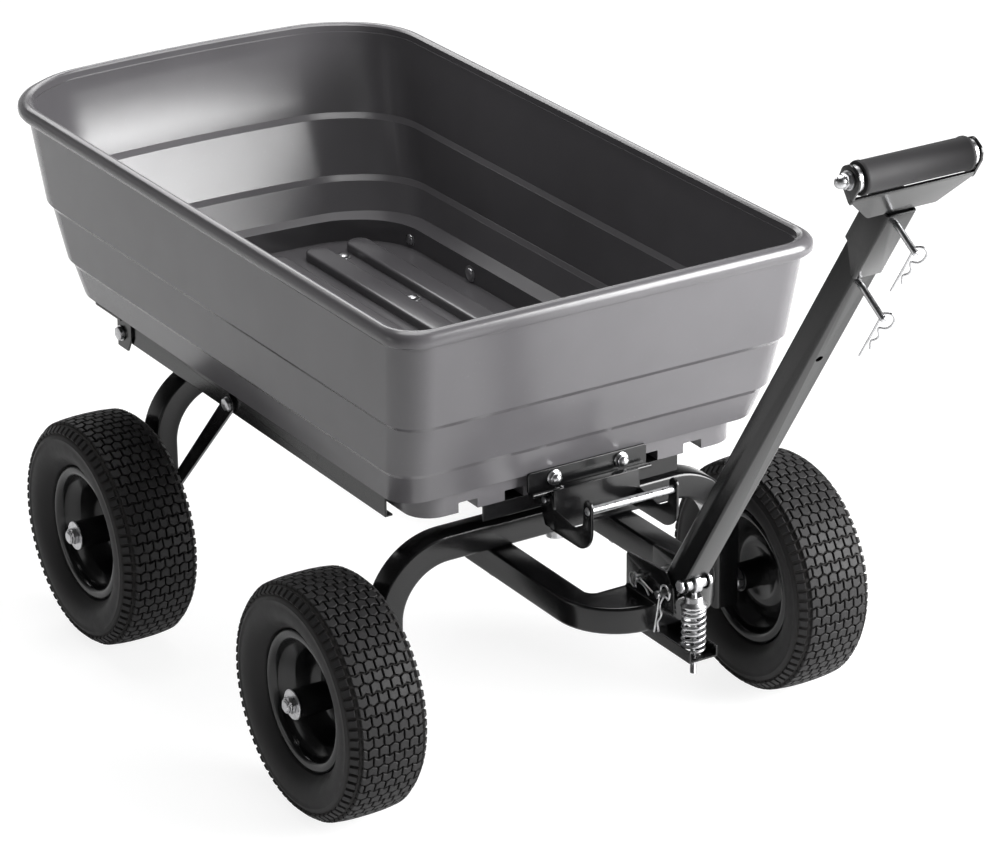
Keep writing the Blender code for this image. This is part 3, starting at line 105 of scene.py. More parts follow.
class CartSizes(bpy.types.PropertyGroup):
    """Sizes of the finer shapes; the overall sizes come from the frame."""
    tub_wall: length("Tub wall", "Thickness of the moulded wall", 0.0045)
    rib_height: length("Floor rib height", "How far the ribs stand above the tub's floor", 0.014)
    rib_width: length("Floor rib width", "Width of one rib in the tub's floor", 0.038)
    tread_depth: length("Tread depth", "Depth of the grooves between the tread blocks", 0.0055)
    tread_groove: length("Tread groove", "Width of the grooves between the tread blocks", 0.0026)
    tread_zigzag: length("Tread zigzag", "How far the cross grooves swing to each side", 0.0018)
    tread_bands: IntProperty(name="Tread bands", description="Rows of blocks round a tyre",
                             default=72, min=12, max=120)
    tube_corner: length("Axle tube corner", "Corner radius of the square axle tube", 0.005)
    handle_corner: length("Handle corner", "Corner radius of the square handle tube", 0.0035)
    spring_wire: length("Spring wire", "Thickness of the handle spring's wire", 0.0044)
    clip_wire: length("Clip wire", "Thickness of the wire in the spring clips", 0.0028)


class CartColours(bpy.types.PropertyGroup):
    """Colours of the cart's five finishes and of the floor under it."""
    poly: colour("Tub", "Moulded grey poly", (0.082, 0.079, 0.084))
    coat: colour("Powder coat", "Black powder coat on the steel", (0.0042, 0.0042, 0.0045))
    zinc: colour("Zinc", "Bright zinc plate on bolts and pins", (0.52, 0.52, 0.53))
    tyre: colour("Tyre rubber", "Black tyre rubber", (0.011, 0.0106, 0.011))
    dust: colour("Tread dust", "Dust that lies in the tread's grooves", (0.026, 0.024, 0.023))
    grip: colour("Grip rubber", "Grey-black rubber of the handle grip", (0.013, 0.0125, 0.0135))
    floor: colour("Floor", "Pale studio floor", (0.9, 0.9, 0.9))


def sizes():
    return bpy.context.scene.cart_sizes


def colours():
    return bpy.context.scene.cart_colours


# Working with bpy.ops as by hand

def rest():
    """Leave edit mode and deselect everything."""
    if bpy.context.object and bpy.context.object.mode != "OBJECT":
        bpy.ops.object.mode_set(mode="OBJECT")
    bpy.ops.object.select_all(action="DESELECT")


def only(ob):
    rest()
    ob.select_set(True)
    bpy.context.view_layer.objects.active = ob
    return ob


def named(name):
    ob = bpy.context.object
    ob.name = ob.data.name = name
    return ob


@contextmanager
def shaping(ob, mode="FACE"):
    """Edit mode on one piece, starting with nothing selected."""
    only(ob)
    bpy.ops.object.mode_set(mode="EDIT")
    bpy.ops.mesh.select_mode(type=mode)
    bpy.ops.mesh.select_all(action="DESELECT")
    yield
    bpy.ops.object.mode_set(mode="OBJECT")


def pick(ob, test, kind="faces"):
    """Select the faces, edges or points that pass a test; returns how many there are."""
    bm = bmesh.from_edit_mesh(ob.data)
    found = 0
    for item in getattr(bm, kind):
        hit = bool(test(item))
        item.select_set(hit)
        found += hit
    bm.select_flush_mode()
    bmesh.update_edit_mesh(ob.data)
    return found


def push(x=0.0, y=0.0, z=0.0):
    bpy.ops.mesh.extrude_region_move(TRANSFORM_OT_translate={"value": (x, y, z)})


def stretch(x=1.0, y=1.0, z=1.0, centre=(0, 0, 0)):
    bpy.ops.transform.resize(value=(x, y, z), center_override=centre)


def tidy(ob, outward=True):
    """Merge points that lie on each other and turn the faces outwards."""
    with shaping(ob, "VERT"):
        bpy.ops.mesh.select_all(action="SELECT")
        bpy.ops.mesh.remove_doubles(threshold=0.000002)
        if outward:
            bpy.ops.mesh.normals_make_consistent(inside=False)
    return ob


def write_place():
    """Write the active piece's place, turn and scale into its mesh."""
    bpy.ops.object.transform_apply(location=True, rotation=True, scale=True)


def set_place(ob, place):
    """Put a piece at its place and write the place into its mesh."""
    only(ob)
    ob.matrix_world = place
    write_place()
    return ob


def use(ob, kind, **settings):
    """Add a modifier and apply it at once."""
    only(ob)
    change = ob.modifiers.new(kind.lower(), kind)
    for key, value in settings.items():
        setattr(change, key, value)
    bpy.ops.object.modifier_apply(modifier=change.name)
    return ob


def break_edges(ob, width):
    """Take down every edge of a piece."""
    with shaping(ob, "EDGE"):
        bpy.ops.mesh.select_all(action="SELECT")
        bpy.ops.mesh.bevel(offset=width, segments=2, affect="EDGES")
    return ob


def cut(ob, tool, way="DIFFERENCE"):
    """Cut a piece by a tool, or unite the two, and put the tool away."""
    use(ob, "BOOLEAN", operation=way, object=tool, solver="EXACT")
    bpy.data.objects.remove(tool)
    return tidy(ob, outward=False)


def joined(name, *pieces):
    """One object of several pieces."""
    only(pieces[0])
    for other in pieces[1:]:
        other.select_set(True)
    bpy.ops.object.join()
    return named(name)


def copied(ob, name, place):
    """A copy with its own mesh."""
    only(ob)
    bpy.ops.object.duplicate(linked=False)
    return set_place(named(name), place)


def lathe(name, profile, sides=32, closed=False, place=Matrix()):
    """Turn a profile of (radius, height) round local Z, ring by ring, as one skin.

    An open profile is capped at both ends; a closed one ends where it began.
    """
    rest()
    radius, height = profile[0]
    bpy.ops.mesh.primitive_circle_add(vertices=sides, radius=radius, location=(0, 0, height),
                                      fill_type="NOTHING" if closed else "NGON")
    ob = named(name)
    bpy.ops.object.transform_apply(location=True)
    with shaping(ob, "VERT"):
        bpy.ops.mesh.select_all(action="SELECT")
        for next_radius, next_height in profile[1:]:
            push(z=next_height - height)
            share = next_radius / radius
            stretch(share, share, 1.0)
            radius, height = next_radius, next_height
        if closed:
            bpy.ops.mesh.select_mode(type="EDGE")
            pick(ob, lambda edge: len(edge.link_faces) == 1, "edges")
            bpy.ops.mesh.bridge_edge_loops()
    tidy(ob)
    return set_place(ob, place)


def drawn(name, lines, place, closed, **settings):
    """A mesh of straight-sided curve lines; the curve's settings give them their thickness."""
    rest()
    bpy.ops.curve.primitive_bezier_circle_add()
    curve = named(name).data
    for key, value in settings.items():
        setattr(curve, key, value)
    curve.splines.clear()
    for spots in lines:
        line = curve.splines.new("POLY")
        line.points.add(len(spots) - 1)
        for point, spot in zip(line.points, spots):
            point.co = (*spot, 0, 1) if len(spot) == 2 else (*spot, 1)
        line.use_cyclic_u = closed
    bpy.ops.object.convert(target="MESH")
    return set_place(tidy(named(name)), place)


def plate(name, loops, thick, place, edge=0.0006, rings=1):
    """A flat piece between outlines, with its edges rounded, centred on its thickness."""
    return drawn(name, loops, place, True, dimensions="2D", fill_mode="BOTH",
                 extrude=thick / 2 - edge, bevel_depth=edge, bevel_resolution=rings, offset=-edge)


def wire(name, points, radius, place=Matrix(), rings=3):
    """A round wire along a line of points, with its ends closed."""
    return drawn(name, [points], place, False, dimensions="3D", bevel_depth=radius,
                 bevel_resolution=rings, use_fill_caps=True)


def block(name, x, y, z, edge=0.0, place=Matrix()):
    """A box between pairs of limits, its edges rounded where a radius is given."""
    rest()
    middle = [(low + high) / 2 for low, high in (x, y, z)]
    bpy.ops.mesh.primitive_cube_add(size=1, location=middle)
    ob = named(name)
    ob.scale = [high - low for low, high in (x, y, z)]
    write_place()
    return set_place(break_edges(ob, edge) if edge else ob, place)


def rod(name, radius, start, end, sides=24, edge=0.0004):
    """A plain round bar between two heights on local Z, with its ends chamfered."""
    return lathe(name, [(radius - edge, start), (radius, start + edge), (radius, end - edge),
                        (radius - edge, end)], sides)


def nut(name, across, start, end, turn=0.0):
    """A hexagon between two heights on local Z, with its corners taken down."""
    rest()
    bpy.ops.mesh.primitive_cylinder_add(vertices=6, radius=across / 2 / cos(pi / 6),
                                        depth=end - start, location=(0, 0, (start + end) / 2),
                                        rotation=(0, 0, turn))
    write_place()
    return break_edges(named(name), across * 0.045)


def washer(radius, low, high, hole=0.005, sides=32):
    """A flat washer between two heights on local Z, open towards the head that covers it."""
    return lathe("washer", [(radius, low), (radius, high), (hole, high)], sides)


def drill(ob, radius, place):
    """Drill right through a tube."""
    return cut(ob, set_place(rod("drill", radius, -0.03, 0.03, 28), place))


def along_x(x, y, z, side=1):
    """A place whose local Z points along +X, or -X for the left side."""
    return Matrix.Translation(at(x, y, z)) @ Matrix.Rotation(side * pi / 2, 4, "Y")


def facing(spot, *axes):
    """A place whose local X, Y and Z point along three directions."""
    return Matrix.Translation(spot) @ Matrix(axes).transposed().to_4x4()


def across_x(x):
    """Outline coordinates are (y, z) and the thickness runs along X."""
    return facing((x, MID, 0), (0, 1, 0), (0, 0, 1), (1, 0, 0))


def across_y(y):
    """Outline coordinates are (x, z) and the thickness runs along Y."""
    return facing((0, MID + y, 0), (1, 0, 0), (0, 0, 1), (0, -1, 0))


def across_z(z):
    """Outline coordinates are (x, y) and the thickness runs along Z."""
    return Matrix.Translation((0, MID, z))


def on_handle(reach):
    """Outline coordinates are (x, rear side of the handle); the thickness runs along it."""
    return facing(at(0, *TILT_PIN) + reach * ALONG, (1, 0, 0), BEHIND, ALONG)


def handle_cross(reach):
    """A place whose local Z points out of the handle's rear side."""
    return facing(at(0, *TILT_PIN) + reach * ALONG, (1, 0, 0), -ALONG, BEHIND)


def handle_spot(rear, reach):
    """The (y, z) of a spot on the handle's side, from its tilt pin."""
    spot = rear * BEHIND + reach * ALONG
    return TILT_PIN[0] + spot.y, TILT_PIN[1] + spot.z


def circle(centre, radius, steps=24):
    turns = [2 * pi * i / steps for i in range(steps)]
    return [(centre[0] + radius * cos(turn), centre[1] + radius * sin(turn)) for turn in turns]


def rectangle(u0, u1, v0, v1):
    return [(u0, v0), (u1, v0), (u1, v1), (u0, v1)]


def rounded(points, radii, steps=5, closed=True):
    """Round the corners of a line of points by arcs, in any number of dimensions."""
    spots = [Vector(point) for point in points]
    radii = radii if isinstance(radii, (list, tuple)) else [radii] * len(spots)
    result = []
    for i, (spot, radius) in enumerate(zip(spots, radii)):
        if radius == 0 or (not closed and i in (0, len(spots) - 1)):
            result.append(tuple(spot))
            continue
        back = spots[i - 1] - spot
        ahead = spots[(i + 1) % len(spots)] - spot
        half = acos(max(-1.0, min(1.0, back.normalized().dot(ahead.normalized())))) / 2
        far = min(radius / tan(half), back.length * 0.499, ahead.length * 0.499)
        start, end = spot + back.normalized() * far, spot + ahead.normalized() * far
        for k in range(steps + 1):
            t = k / steps
            first, middle, last = (1 - t) ** 2, 2 * sin(half) * t * (1 - t), t ** 2
            blend = start * first + spot * middle + end * last
            result.append(tuple(blend / (first + middle + last)))
    return result


# Finishes

class Value:
    """A shader socket that Python's own arithmetic works on."""

    def __init__(self, nodes, socket):
        self.nodes, self.socket = nodes, socket

    def maths(self, operation, *values):
        return self.nodes.node("ShaderNodeMath", {"operation": operation}, dict(enumerate(values)))

    def __add__(self, other):
        return self.maths("ADD", self, other)

    def __sub__(self, other):
        return self.maths("SUBTRACT", self, other)

    def __rsub__(self, other):
        return self.maths("SUBTRACT", other, self)

    def __mul__(self, other):
        return self.maths("MULTIPLY", self, other)

    __radd__ = __add__
    __rmul__ = __mul__


class Nodes:
    """A node tree under way."""

    def __init__(self, tree):
        self.tree = tree

    def node(self, kind, settings=None, sockets=None, out=0):
        """Any node: its settings first, then the values or links of its sockets."""
        node = self.tree.nodes.new(kind)
        for key, value in (settings or {}).items():
            setattr(node, key, value)
        for key, value in (sockets or {}).items():
            if isinstance(value, Value):
                self.link(value, node.inputs[key])
            else:
                node.inputs[key].default_value = value
        return Value(self, node.outputs[out])

    def link(self, value, socket):
        self.tree.links.new(value.socket, socket)

    def place(self):
        return self.node("ShaderNodeTexCoord", out="Object")

    def ramp(self, value, low, high, **ends):
        """A straight run from zero at low to one at high, or between other ends; flat outside."""
        ends = {key.replace("_", " ").title(): end for key, end in ends.items()}
        return self.node("ShaderNodeMapRange", {"clamp": True},
                         {"Value": value, "From Min": low, "From Max": high, **ends})

    def rays(self):
        """The share of camera rays, and of glossy and transmission rays together."""
        camera, glossy, clear = (self.node("ShaderNodeLightPath", out="Is %s Ray" % kind)
                                 for kind in ("Camera", "Glossy", "Transmission"))
        return camera, glossy + clear


class Paint(Nodes):
    """One finish under way: a material, its nodes and its Principled shader."""

    def __init__(self, name, metallic=0.0, specular=0.5):
        self.material = bpy.data.materials.new(name)
        self.material.use_nodes = True
        super().__init__(self.material.node_tree)
        self.shader = self.tree.nodes["Principled BSDF"]
        self.shader.inputs["Metallic"].default_value = metallic
        self.shader.inputs["Specular IOR Level"].default_value = specular

    def give(self, socket, value):
        self.link(value, self.shader.inputs[socket])

    def grain(self, scale, detail=2.0, roughness=0.5, stretch=None):
        """Noise of a given number of bumps per metre, on the object's own place."""
        spot = self.place()
        if stretch:
            spot = self.node("ShaderNodeMapping", sockets={"Vector": spot, "Scale": stretch})
        return self.node("ShaderNodeTexNoise", sockets={"Vector": spot, "Scale": scale,
                                                        "Detail": detail, "Roughness": roughness})

    def written(self, name):
        return self.node("ShaderNodeAttribute", {"attribute_name": name}, out="Fac")

    def blend(self, share, first, second):
        """A colour between two colours, each a triple or a link."""
        first, second = (c if isinstance(c, Value) else (*c, 1.0) for c in (first, second))
        return self.node("ShaderNodeMix", {"data_type": "RGBA"}, {0: share, 6: first, 7: second},
                         out=2)

    def emboss(self, *layers):
        """Bumps laid over each other, each (height, strength, depth in metres)."""
        normal = {}
        for height, strength, depth in layers:
            bump = {"Height": height, "Strength": strength, "Distance": depth}
            normal = {"Normal": self.node("ShaderNodeBump", sockets={**bump, **normal})}
        self.give("Normal", normal["Normal"])


def shade(tint, factor):
    return tuple(min(1.0, part * factor) for part in tint)


def moulded_poly():
    """Rotomoulded poly: an even semi-gloss with a fine pebble and faint flow clouds."""
    paint = Paint("grey_poly")
    tint = tuple(colours().poly)
    clouds = paint.grain(5.0, 3.0)
    pebble = paint.grain(900.0, 2.0, 0.6)
    fleck = paint.ramp(paint.grain(260.0, 2.0), 0.66, 0.8)
    base = paint.blend(paint.ramp(clouds, 0.35, 0.65), shade(tint, 0.93), shade(tint, 1.07))
    paint.give("Base Color", paint.blend(fleck * 0.35, base, shade(tint, 1.35)))
    paint.give("Roughness", 0.17 + clouds * 0.07 + pebble * 0.05)
    paint.emboss((paint.grain(22.0, 2.0), 0.1, 0.0016), (pebble, 0.16, 0.0003))
    return paint.material


def powder_coat():
    """Baked powder coat: deep black with orange peel and a little shop dust."""
    paint = Paint("black_powder_coat", specular=0.4)
    tint = tuple(colours().coat)
    skin = paint.grain(420.0, 1.5, 0.5)
    dust = paint.ramp(paint.grain(55.0, 4.0, 0.65), 0.55, 0.8)
    paint.give("Base Color", paint.blend(dust * 0.25, tint, shade(tint, 2.2)))
    paint.give("Roughness", 0.17 + dust * 0.1 + skin * 0.05)
    paint.emboss((skin, 0.1, 0.0004))
    return paint.material


def bright_zinc():
    """Zinc plate over turned and drawn steel: fine drawing lines, clouded by handling."""
    paint = Paint("bright_zinc", metallic=1.0)
    tint = tuple(colours().zinc)
    clouds = paint.ramp(paint.grain(120.0, 3.0), 0.35, 0.7)
    lines = paint.grain(1.0, 2.0, 0.5, stretch=(260.0, 2600.0, 900.0))
    paint.give("Base Color", paint.blend(clouds, shade(tint, 0.8), shade(tint, 1.05)))
    paint.give("Roughness", 0.22 + clouds * 0.12 + lines * 0.08)
    paint.emboss((lines, 0.06, 0.0002))
    return paint.material


def tyre_rubber():
    """Carbon-black rubber: clean on the blocks, dusty in the grooves, satin on the wall."""
    paint = Paint("tyre_rubber", specular=0.25)
    tint, dusty = tuple(colours().tyre), tuple(colours().dust)
    low = paint.written("groove")
    haze = paint.ramp(paint.grain(70.0, 4.0, 0.6), 0.35, 0.75)
    grain = paint.grain(1100.0, 2.0, 0.6)
    body = paint.blend(haze * 0.5, tint, shade(tint, 1.5))
    paint.give("Base Color", paint.blend(low * (0.35 + haze * 0.45), body, dusty))
    paint.give("Roughness", 0.52 + low * 0.22 + haze * 0.1)
    paint.emboss((grain, 0.2, 0.0003))
    return paint.material


def grip_rubber():
    """Soft grip: matt, with a fine cross-ground grain."""
    paint = Paint("grip_rubber", specular=0.2)
    tint = tuple(colours().grip)
    clouds = paint.grain(45.0, 3.0)
    grain = paint.grain(1500.0, 2.0, 0.6)
    paint.give("Base Color", paint.blend(clouds, shade(tint, 0.85), shade(tint, 1.15)))
    paint.give("Roughness", 0.58 + clouds * 0.12)
    paint.emboss((grain, 0.22, 0.0003))
    return paint.material


MAKERS = {
    "grey_poly": moulded_poly,
    "black_powder_coat": powder_coat,
    "bright_zinc": bright_zinc,
    "tyre_rubber": tyre_rubber,
    "grip_rubber": grip_rubber,
}
finishes = {}


def finish(slot):
    """The material of one finish slot, made the first time it is asked for."""
    if slot not in finishes:
        finishes[slot] = MAKERS[slot]()
    return finishes[slot]


def done(ob, body, slot, *nodes, smooth=35):
    """Smooth a finished piece, paint it and let it ride in place of its CAD nodes."""
    only(ob)
    if smooth:
        bpy.ops.object.shade_smooth_by_angle(angle=radians(smooth))
    ob.data.materials.clear()
    ob.data.materials.append(finish(slot))
    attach(ob, body)
    if nodes:
        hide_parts(*nodes)
    return ob


# The tub

HALF_WIDTH, FRONT, REAR = 0.3255, -0.4615, 0.7
REAR_BOW = 0.016
FLOOR_Z, BASE_TOP = 0.408, 0.44
BASE = (0.249, -0.373, 0.554)
FRONT_CORNER, REAR_CORNER = 0.05, 0.138
RIB_COUNT, RIB_PITCH, RIB_REAR = 6, 0.07, 0.52
TUB_BOLTS = (("floor", "front", 0.29), ("floor", "rear", 0.49), ("wall", "front", 0.3),
             ("wall", "rear", 0.47))


def tub_outside():
    """The outer wall from the rim's bead down: (half width, front, rear, z) and corner radii."""
    bead = [(0.013, 0.7072), (0.01, 0.708), (0.007, 0.7072), (0.0035, 0.7045), (0.0008, 0.7),
            (0.0, 0.694), (0.0006, 0.689), (0.0026, 0.6862), (0.006, 0.6856), (0.01, 0.6862)]
    corners = [((HALF_WIDTH - inset, FRONT + inset, REAR - inset, z), 0) for inset, z in bead]
    corners += [
        ((0.3145, -0.4515, 0.6865, 0.68), 0.004), ((0.3045, -0.4305, 0.658, 0.565), 0.0035),
        ((0.2995, -0.4245, 0.65, 0.558), 0.003), ((0.2945, -0.4045, 0.613, 0.489), 0.0035),
        ((0.2895, -0.399, 0.606, 0.482), 0.003), ((0.281, -0.3805, 0.584, BASE_TOP), 0.006),
        ((BASE[0] + 0.004, BASE[1] - 0.003, BASE[2] + 0.01, BASE_TOP), 0.002),
        ((*BASE, BASE_TOP - 0.004), 0.002), ((*BASE, FLOOR_Z), 0.003),
        ((BASE[0] - 0.008, BASE[1] + 0.008, BASE[2] - 0.008, FLOOR_Z), 0)]
    return corners


def tub_inside(wall):
    """The inner wall from the floor's edge up to the rim's bead."""
    low, step = FLOOR_Z + wall, BASE_TOP + 0.0065
    flare = [((0.3002 + 0.0088 * t, -0.4265 - 0.0185 * t, 0.6555 + 0.0427 * t - 0.0162 * t * t,
               0.5775 + 0.1185 * t), 0) for t in [tenth / 10 for tenth in range(1, 10)]]
    return [
        ((BASE[0] - wall - 0.01, BASE[1] + wall + 0.01, BASE[2] - 0.016, low), 0),
        ((BASE[0] - wall, BASE[1] + wall, BASE[2] - wall, low), 0.007),
        ((BASE[0] - wall, BASE[1] + wall, BASE[2] - wall, step), 0.007),
        ((0.275, -0.374, 0.577, step), 0.006), ((0.285, -0.3945, 0.6015, 0.4865), 0.004),
        ((0.29, -0.4, 0.6085, 0.4935), 0.004), ((0.2955, -0.4215, 0.648, 0.5705), 0.004),
        ((0.3002, -0.4265, 0.6555, 0.5775), 0.004), *flare, ((0.309, -0.445, 0.682, 0.696), 0.005),
        ((HALF_WIDTH - 0.016, FRONT + 0.016, REAR - 0.016, 0.705), 0),
        ((HALF_WIDTH - 0.013, FRONT + 0.013, REAR - 0.013, 0.7072), 0)]


def tub_levels(wall):
    """Every level of the skin, from the floor's edge up the inside and down the outside."""
    run = tub_inside(wall) + tub_outside()[1:]
    return rounded([place for place, _ in run], [radius for _, radius in run], 4, closed=False)


def tub_ring(ob, half_width, rear):
    """Turn the starting plane into the tub's outline: round corners and a bowed rear edge."""
    share = half_width / HALF_WIDTH

    def at_rear(vert):
        return vert.co.y > MID + rear - 0.001

    with shaping(ob, "VERT"):
        pick(ob, lambda vert: vert.co.y < MID, "verts")
        bpy.ops.mesh.bevel(offset=FRONT_CORNER * share, segments=9, affect="VERTICES")
        bpy.ops.mesh.select_all(action="DESELECT")
        pick(ob, at_rear, "verts")
        bpy.ops.mesh.bevel(offset=REAR_CORNER * share, segments=16, affect="VERTICES")
        bpy.ops.mesh.select_mode(type="EDGE")
        pick(ob, lambda edge: all(map(at_rear, edge.verts)) and edge.calc_length() > 0.1, "edges")
        bpy.ops.mesh.subdivide(number_cuts=13)
        bpy.ops.mesh.select_mode(type="VERT")
        pick(ob, lambda vert: abs(vert.co.x) < 0.001 and vert.co.y > MID, "verts")
        bpy.ops.transform.translate(value=(0, REAR_BOW * share, 0), use_proportional_edit=True,
                                    proportional_edit_falloff="INVERSE_SQUARE",
                                    proportional_size=half_width * 0.78)


class CART_OT_tub(bpy.types.Operator):
    """Mould the tub with its rolled rim, steps and floor ribs, and bolt it down"""
    bl_idname = "cart.tub"
    bl_label = "Tub"

    def execute(self, context):
        wall = sizes().tub_wall
        levels = tub_levels(wall)
        half_width, front, rear, z = levels[0]
        rest()
        bpy.ops.mesh.primitive_plane_add(size=2, location=at(0, (front + rear) / 2, z))
        tub = named("tub_shell")
        tub.scale = (half_width, (rear - front) / 2, 1)
        write_place()
        tub_ring(tub, half_width, rear)
        with shaping(tub, "FACE"):
            bpy.ops.mesh.select_all(action="SELECT")
            for before, after in zip(levels, levels[1:]):
                old, new = (before[1] + before[2]) / 2, (after[1] + after[2]) / 2
                push(y=new - old, z=after[3] - before[3])
                stretch(after[0] / before[0], (after[2] - after[1]) / (before[2] - before[1]), 1.0,
                        at(0, new, after[3]))
        tidy(tub)
        self.ribs(tub, wall)
        done(tub, "tub", "grey_poly", "tub", smooth=32)
        self.floor_bolts()
        return {"FINISHED"}

    def ribs(self, tub, wall):
        """Raise the six floor ribs and hollow them from below, open at the front."""
        half, high = sizes().rib_width / 2, sizes().rib_height
        for i in range(RIB_COUNT):
            x = (i - (RIB_COUNT - 1) / 2) * RIB_PITCH
            outline = self.rib_outline(x, half, BASE[1] + 0.0025, RIB_REAR, 9)
            rib = plate("rib", [outline], high + 0.003,
                        across_z(FLOOR_Z + wall + high / 2 - 0.0015), edge=0.0045, rings=3)
            cut(tub, rib, "UNION")
            outline = self.rib_outline(x, half - wall, BASE[1] - 0.012, RIB_REAR - wall, 8)
            cut(tub, plate("hollow", [outline], high + 0.01, across_z(FLOOR_Z + high / 2 - 0.005),
                           edge=0.0015))

    def rib_outline(self, x, half, front, rear, steps):
        """Square at the front and round at the rear."""
        return rounded(rectangle(x - half, x + half, front, rear), [0, 0, half * 0.99, half * 0.99],
                       steps)

    def floor_bolts(self):
        """Round-headed bolts through the floor's grooves and the base's side walls."""
        sunk = sizes().tub_wall - 0.0004
        for name, side in SIDES:
            for kind, end, y in TUB_BOLTS:
                place = (Matrix.Translation(at(side * 0.14, y, FLOOR_Z + sunk)) if kind == "floor"
                         else along_x(side * (BASE[0] - sunk), y, 0.4255, -side))
                head = button_head("%s_bolt_%s_%s" % (kind, end, name))
                done(set_place(head, place), "tub", "bright_zinc")


def button_head(name, radius=0.009):
    """A carriage bolt's round head on a thin washer, standing on local z = 0."""
    profile = [(radius + 0.0035, -0.0005), (radius + 0.0035, 0.001), (radius + 0.003, 0.0014),
               (radius, 0.0014)]
    profile += [(radius * cos(a), 0.0016 + 0.0042 * sin(a))
                for a in (0.1, 0.4, 0.7, 1.0, 1.25, 1.45)]
    return lathe(name, profile, 28)


# Wheels

TYRE_RADIUS, CROWN_DROP = 0.165, 0.003
TREAD_HALF, TREAD_COLUMNS = 0.045, 12
HUB_END = 0.0548
SPLIT_PIN_TURN = Matrix.Rotation(2 * pi / 3, 4, "Z")


def tread_radius(a):
    """The tyre's outside radius at a distance a from its middle."""
    return TYRE_RADIUS - CROWN_DROP * (abs(a) / TREAD_HALF) ** 2.5


def from_axle(vert):
    return hypot(vert.co.x, vert.co.y)


def turf_tyre():
    """One tyre about local Z: a smooth wall and rows of staggered chevron blocks."""
    bands, deep, gap = sizes().tread_bands, sizes().tread_depth, sizes().tread_groove / 2
    step = 2 * TREAD_HALF / TREAD_COLUMNS
    rows = [-TREAD_HALF + step * j for j in range(TREAD_COLUMNS + 1)]
    crown = [(tread_radius(a) - deep, a) for a in rows]
    side = [(0.1454, 0.0562), (0.144, 0.0574), (0.1412, 0.0579), (0.1402, 0.0587), (0.1388, 0.0587),
            (0.1378, 0.0581), (0.133, 0.0586), (0.1255, 0.0586), (0.1185, 0.0572), (0.112, 0.054),
            (0.1075, 0.0502), (0.104, 0.0466), (0.1012, 0.0434), (0.0992, 0.041), (0.0986, 0.038),
            (0.0975, 0.0335), (0.09, 0.0318), (0.085, 0.03)]
    profile = [(r, -a) for r, a in side[::-1]] + crown + side
    profile += [(0.083, 0.024), (0.11, 0.04), (0.11, -0.04), (0.083, -0.024)]
    tyre = lathe("tyre", profile, bands, closed=True)
    turn = 2 * pi / bands

    def column_of(vert):
        return round((vert.co.z + TREAD_HALF) / step)

    def on_tread(vert):
        return from_axle(vert) > 0.13 and abs(vert.co.z) < TREAD_HALF + 0.0002

    def between_halves(edge):
        first, second = edge.verts
        if not (on_tread(first) and on_tread(second)) or abs(first.co.z - second.co.z) > 0.0001:
            return False
        j = column_of(first)
        middle = (first.co + second.co) / 2
        band = int((atan2(middle.y, middle.x) % (2 * pi)) / turn)
        return 0 < j < TREAD_COLUMNS and j % 2 != band % 2

    with shaping(tyre, "EDGE"):
        pick(tyre, between_halves, "edges")
        bpy.ops.mesh.dissolve_edges(use_verts=False)
        bpy.ops.mesh.select_mode(type="VERT")
        swing = sizes().tread_zigzag / TYRE_RADIUS
        pick(tyre, lambda vert: on_tread(vert) and column_of(vert) % 2 == 1, "verts")
        bpy.ops.transform.rotate(value=swing, orient_axis="Z", center_override=(0, 0, 0))
        pick(tyre, lambda vert: from_axle(vert) > 0.12
             and (column_of(vert) % 2 == 0 or not on_tread(vert)), "verts")
        bpy.ops.transform.rotate(value=-swing, orient_axis="Z", center_override=(0, 0, 0))
        bpy.ops.mesh.select_mode(type="FACE")
        pick(tyre, lambda face: all(on_tread(vert) for vert in face.verts))
        raise_blocks(gap, deep)
        pick(tyre, lambda face: len(face.verts) == 4
             and 0.049 < abs(face.calc_center_median().z) < 0.0525
             and all(from_axle(vert) > 0.145 for vert in face.verts))
        bpy.ops.mesh.inset(thickness=gap * 1.3, depth=0, use_individual=True)
        bpy.ops.mesh.inset(thickness=0.0009, depth=deep * 0.75, use_individual=True)
    write_groove(tyre, deep)
    return tyre


def raise_blocks(gap, deep):
    """Draw the picked faces in, raise them about the axle and take their edges down."""
    bpy.ops.mesh.inset(thickness=gap, depth=0, use_individual=True)
    push()
    share = 1 + (deep - 0.0006) / (TYRE_RADIUS - deep)
    stretch(share, share, 1.0)
    bpy.ops.mesh.inset(thickness=0.0007, depth=0.0006, use_individual=True)


def write_groove(tyre, deep):
    """Note on each point how deep in the tread it lies, for the dust."""
    note = tyre.data.attributes.new("groove", "FLOAT", "POINT")
    for vert, mark in zip(tyre.data.vertices, note.data):
        radius, a = from_axle(vert), abs(vert.co.z)
        below = tread_radius(min(a, TREAD_HALF)) - radius - max(0.0, a - TREAD_HALF)
        on_wall = a > 0.0565 or radius < 0.1445
        mark.value = 0.12 if on_wall else max(0.0, min(1.0, below / deep))


